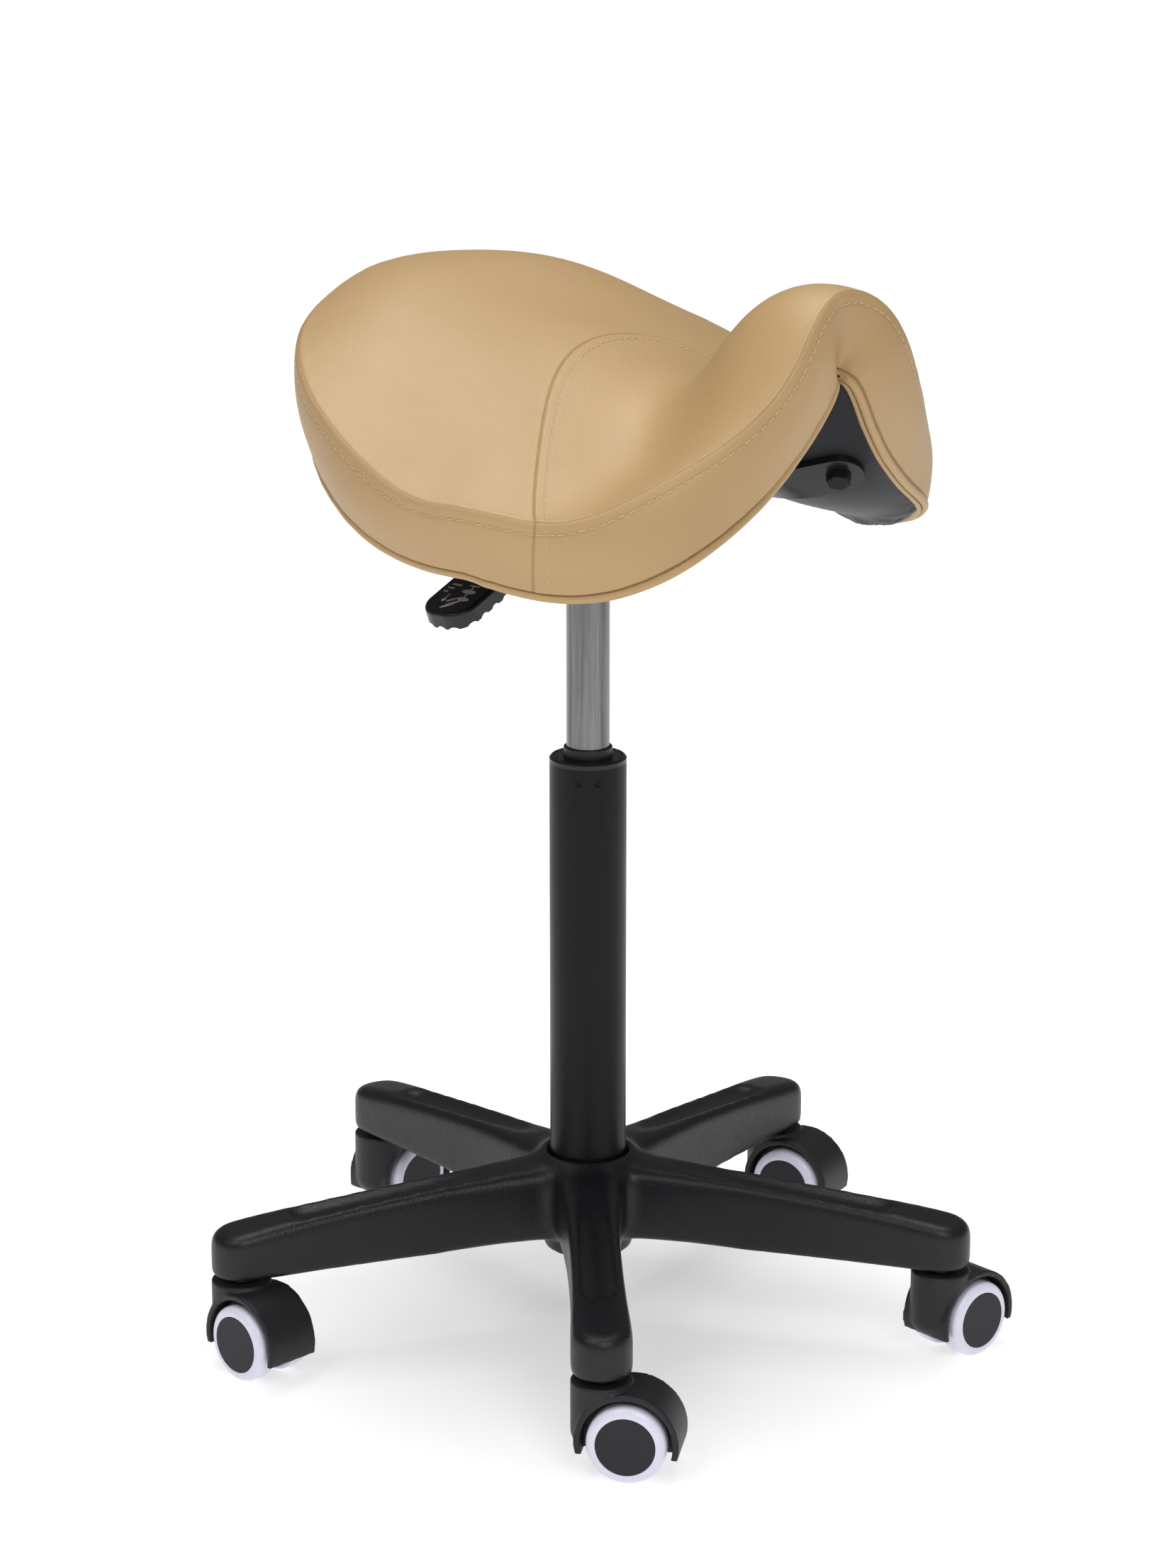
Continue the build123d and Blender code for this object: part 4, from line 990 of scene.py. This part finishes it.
# ---------------------------------------------------------------- moulded pieces
def softened(node_name, voxel, passes, made, body, blended=0):
    """A moulded piece in place of its CAD node: the same shape with every edge and inner corner rounded over.

    blended is a number of further passes where the arms run into the hub."""
    source = frame["nodes"][node_name]
    piece = bpy.data.objects.new(node_name + "_moulded", source.data.copy())
    piece.data.materials.clear()
    bpy.context.scene.collection.objects.link(piece)
    bpy.context.view_layer.objects.active = piece
    weld = piece.modifiers.new("weld", "WELD")
    weld.merge_threshold = 0.00001
    bpy.ops.object.modifier_apply(modifier="weld")
    remesh = piece.modifiers.new("remesh", "REMESH")
    remesh.mode = "VOXEL"
    remesh.voxel_size = voxel
    bpy.ops.object.modifier_apply(modifier="remesh")
    if blended:
        reach = np.array([vertex.co.xy.length for vertex in piece.data.vertices]) / MM
        share = np.clip((reach - 31) / 9, 0, 1) * np.clip((112 - reach) / 45, 0, 1)
        root = piece.vertex_groups.new(name="root")
        for step in range(1, 11):
            root.add(np.nonzero(np.round(share * 10) == step)[0].tolist(), step / 10, "REPLACE")
        blend = piece.modifiers.new("blend", "SMOOTH")
        blend.factor = 0.5
        blend.iterations = blended
        blend.vertex_group = "root"
        bpy.ops.object.modifier_apply(modifier="blend")
    relax = piece.modifiers.new("relax", "SMOOTH")
    relax.factor = 0.5
    relax.iterations = passes
    bpy.ops.object.modifier_apply(modifier="relax")
    piece.data.materials.append(made)
    piece.data.polygons.foreach_set("use_smooth", np.ones(len(piece.data.polygons), bool))
    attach(piece, body)
    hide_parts(node_name)
    return piece


softened("star_base", 0.0017, 24, nylon, "base", blended=110)
for number in range(1, 6):
    softened(f"caster_{number}_housing", 0.0009, 6, hood_plastic, f"swivel_{number}")


# ---------------------------------------------------------------- materials of the CAD pieces
FINISHES = {
    "tan_leatherette": leather,
    "black_fabric": lining,
    "shell_plastic": shell_plastic,
    "black_nylon": nylon,
    "hood_plastic": hood_plastic,
    "cap_plastic": cap_plastic,
    "wheel_plastic": white_plastic,
    "lever_plastic": lever_plastic,
    "bearing_plastic": bearing_plastic,
    "column_paint": column_paint,
    "frame_paint": frame_paint,
    "brushed_chrome": chrome,
    "bare_steel": steel,
    "black_bolt": bolt_black,
    "black_rubber": rubber,
}
for entry in frame["record"]["subparts"]:
    for place in frame["nodes"][entry["node"]].material_slots:
        place.material = FINISHES[entry["material_slot"]]


# ---------------------------------------------------------------- floor, light and camera
CAMERA_TURN = math.radians(40)
CAMERA_PITCH = math.radians(15.53)
CAMERA_DISTANCE = 2.4339
CAMERA_HEIGHT = 1.0448
LENS = 89.84
# (name, degrees to the right of the camera, height, distance, width, height of the panel, watts)
LIGHTS = (
    ("overhead", 172, 2.9, 0.3, 1.9, 1.9, 54),
    ("left_panel", -42, 2.5, 2.0, 1.2, 1.4, 19),
    ("front_panel", 16, 2.2, 2.7, 1.4, 1.4, 34),
)
WORLD_LIGHT = 0.15
# The floor glows: painted light that keeps it white away from the stool, and dimmer under the stool, where it
# is a pool of painted shade.
FLOOR_GLOW = (0.50, 0.97)    # under the stool, and away from it
FLOOR_REACH = 24.0          # metres from the middle to the floor's edge


def studio():
    floor_material = new_material("floor_white", (0.45, 0.45, 0.45), 0.65, Specular_IOR_Level=0.1)
    place = object_place(floor_material)
    bumped(floor_material, noise_of(floor_material, place, 160, 3), 0.00002)
    shader = floor_material.node_tree.nodes["Principled BSDF"]
    shader.inputs["Emission Color"].default_value = (1, 1, 1, 1)
    away = node(floor_material, "ShaderNodeVectorMath", operation="LENGTH")
    link(floor_material, place, away.inputs[0])
    # Painted light: the floor glows, less under the stool, a pool of painted shade round it.
    glow = ranged(floor_material, away.outputs["Value"], FLOOR_GLOW[0], FLOOR_GLOW[1], 0.10, 0.48)
    link(floor_material, glow, shader.inputs["Emission Strength"])
    reach = FLOOR_REACH
    corners = [(-reach, -reach, 0), (reach, -reach, 0), (reach, reach, 0), (-reach, reach, 0)]
    mesh = bpy.data.meshes.new("floor")
    mesh.from_pydata(corners, [], [(0, 1, 2, 3)])
    mesh.materials.append(floor_material)
    floor = bpy.data.objects.new("floor", mesh)
    bpy.context.scene.collection.objects.link(floor)

    world = bpy.data.worlds.new("studio")
    world.use_nodes = True
    world.node_tree.nodes["Background"].inputs["Color"].default_value = (1, 1, 1, 1)
    world.node_tree.nodes["Background"].inputs["Strength"].default_value = WORLD_LIGHT
    bpy.context.scene.world = world

    target = Vector((0, 0, 0.5))
    for name, turn, height, distance, width, tall, power in LIGHTS:
        lamp = bpy.data.lights.new(name, "AREA")
        lamp.shape = "RECTANGLE"
        lamp.size = width
        lamp.size_y = tall
        lamp.energy = power
        holder = bpy.data.objects.new(name, lamp)
        bearing = CAMERA_TURN + math.radians(turn)
        holder.location = (distance * math.sin(bearing), -distance * math.cos(bearing), height)
        holder.rotation_euler = (holder.location - target).to_track_quat("Z", "Y").to_euler()
        bpy.context.scene.collection.objects.link(holder)

    lens = bpy.data.cameras.new("camera")
    lens.lens = LENS
    lens.sensor_width = 36
    lens.clip_end = 100
    camera = bpy.data.objects.new("camera", lens)
    east, south = math.sin(CAMERA_TURN), math.cos(CAMERA_TURN)
    camera.location = (CAMERA_DISTANCE * east, -CAMERA_DISTANCE * south, CAMERA_HEIGHT)
    camera.rotation_euler = (math.pi / 2 - CAMERA_PITCH, 0, CAMERA_TURN)
    bpy.context.scene.collection.objects.link(camera)
    bpy.context.scene.camera = camera
    bpy.context.scene.view_settings.view_transform = "Standard"


studio()
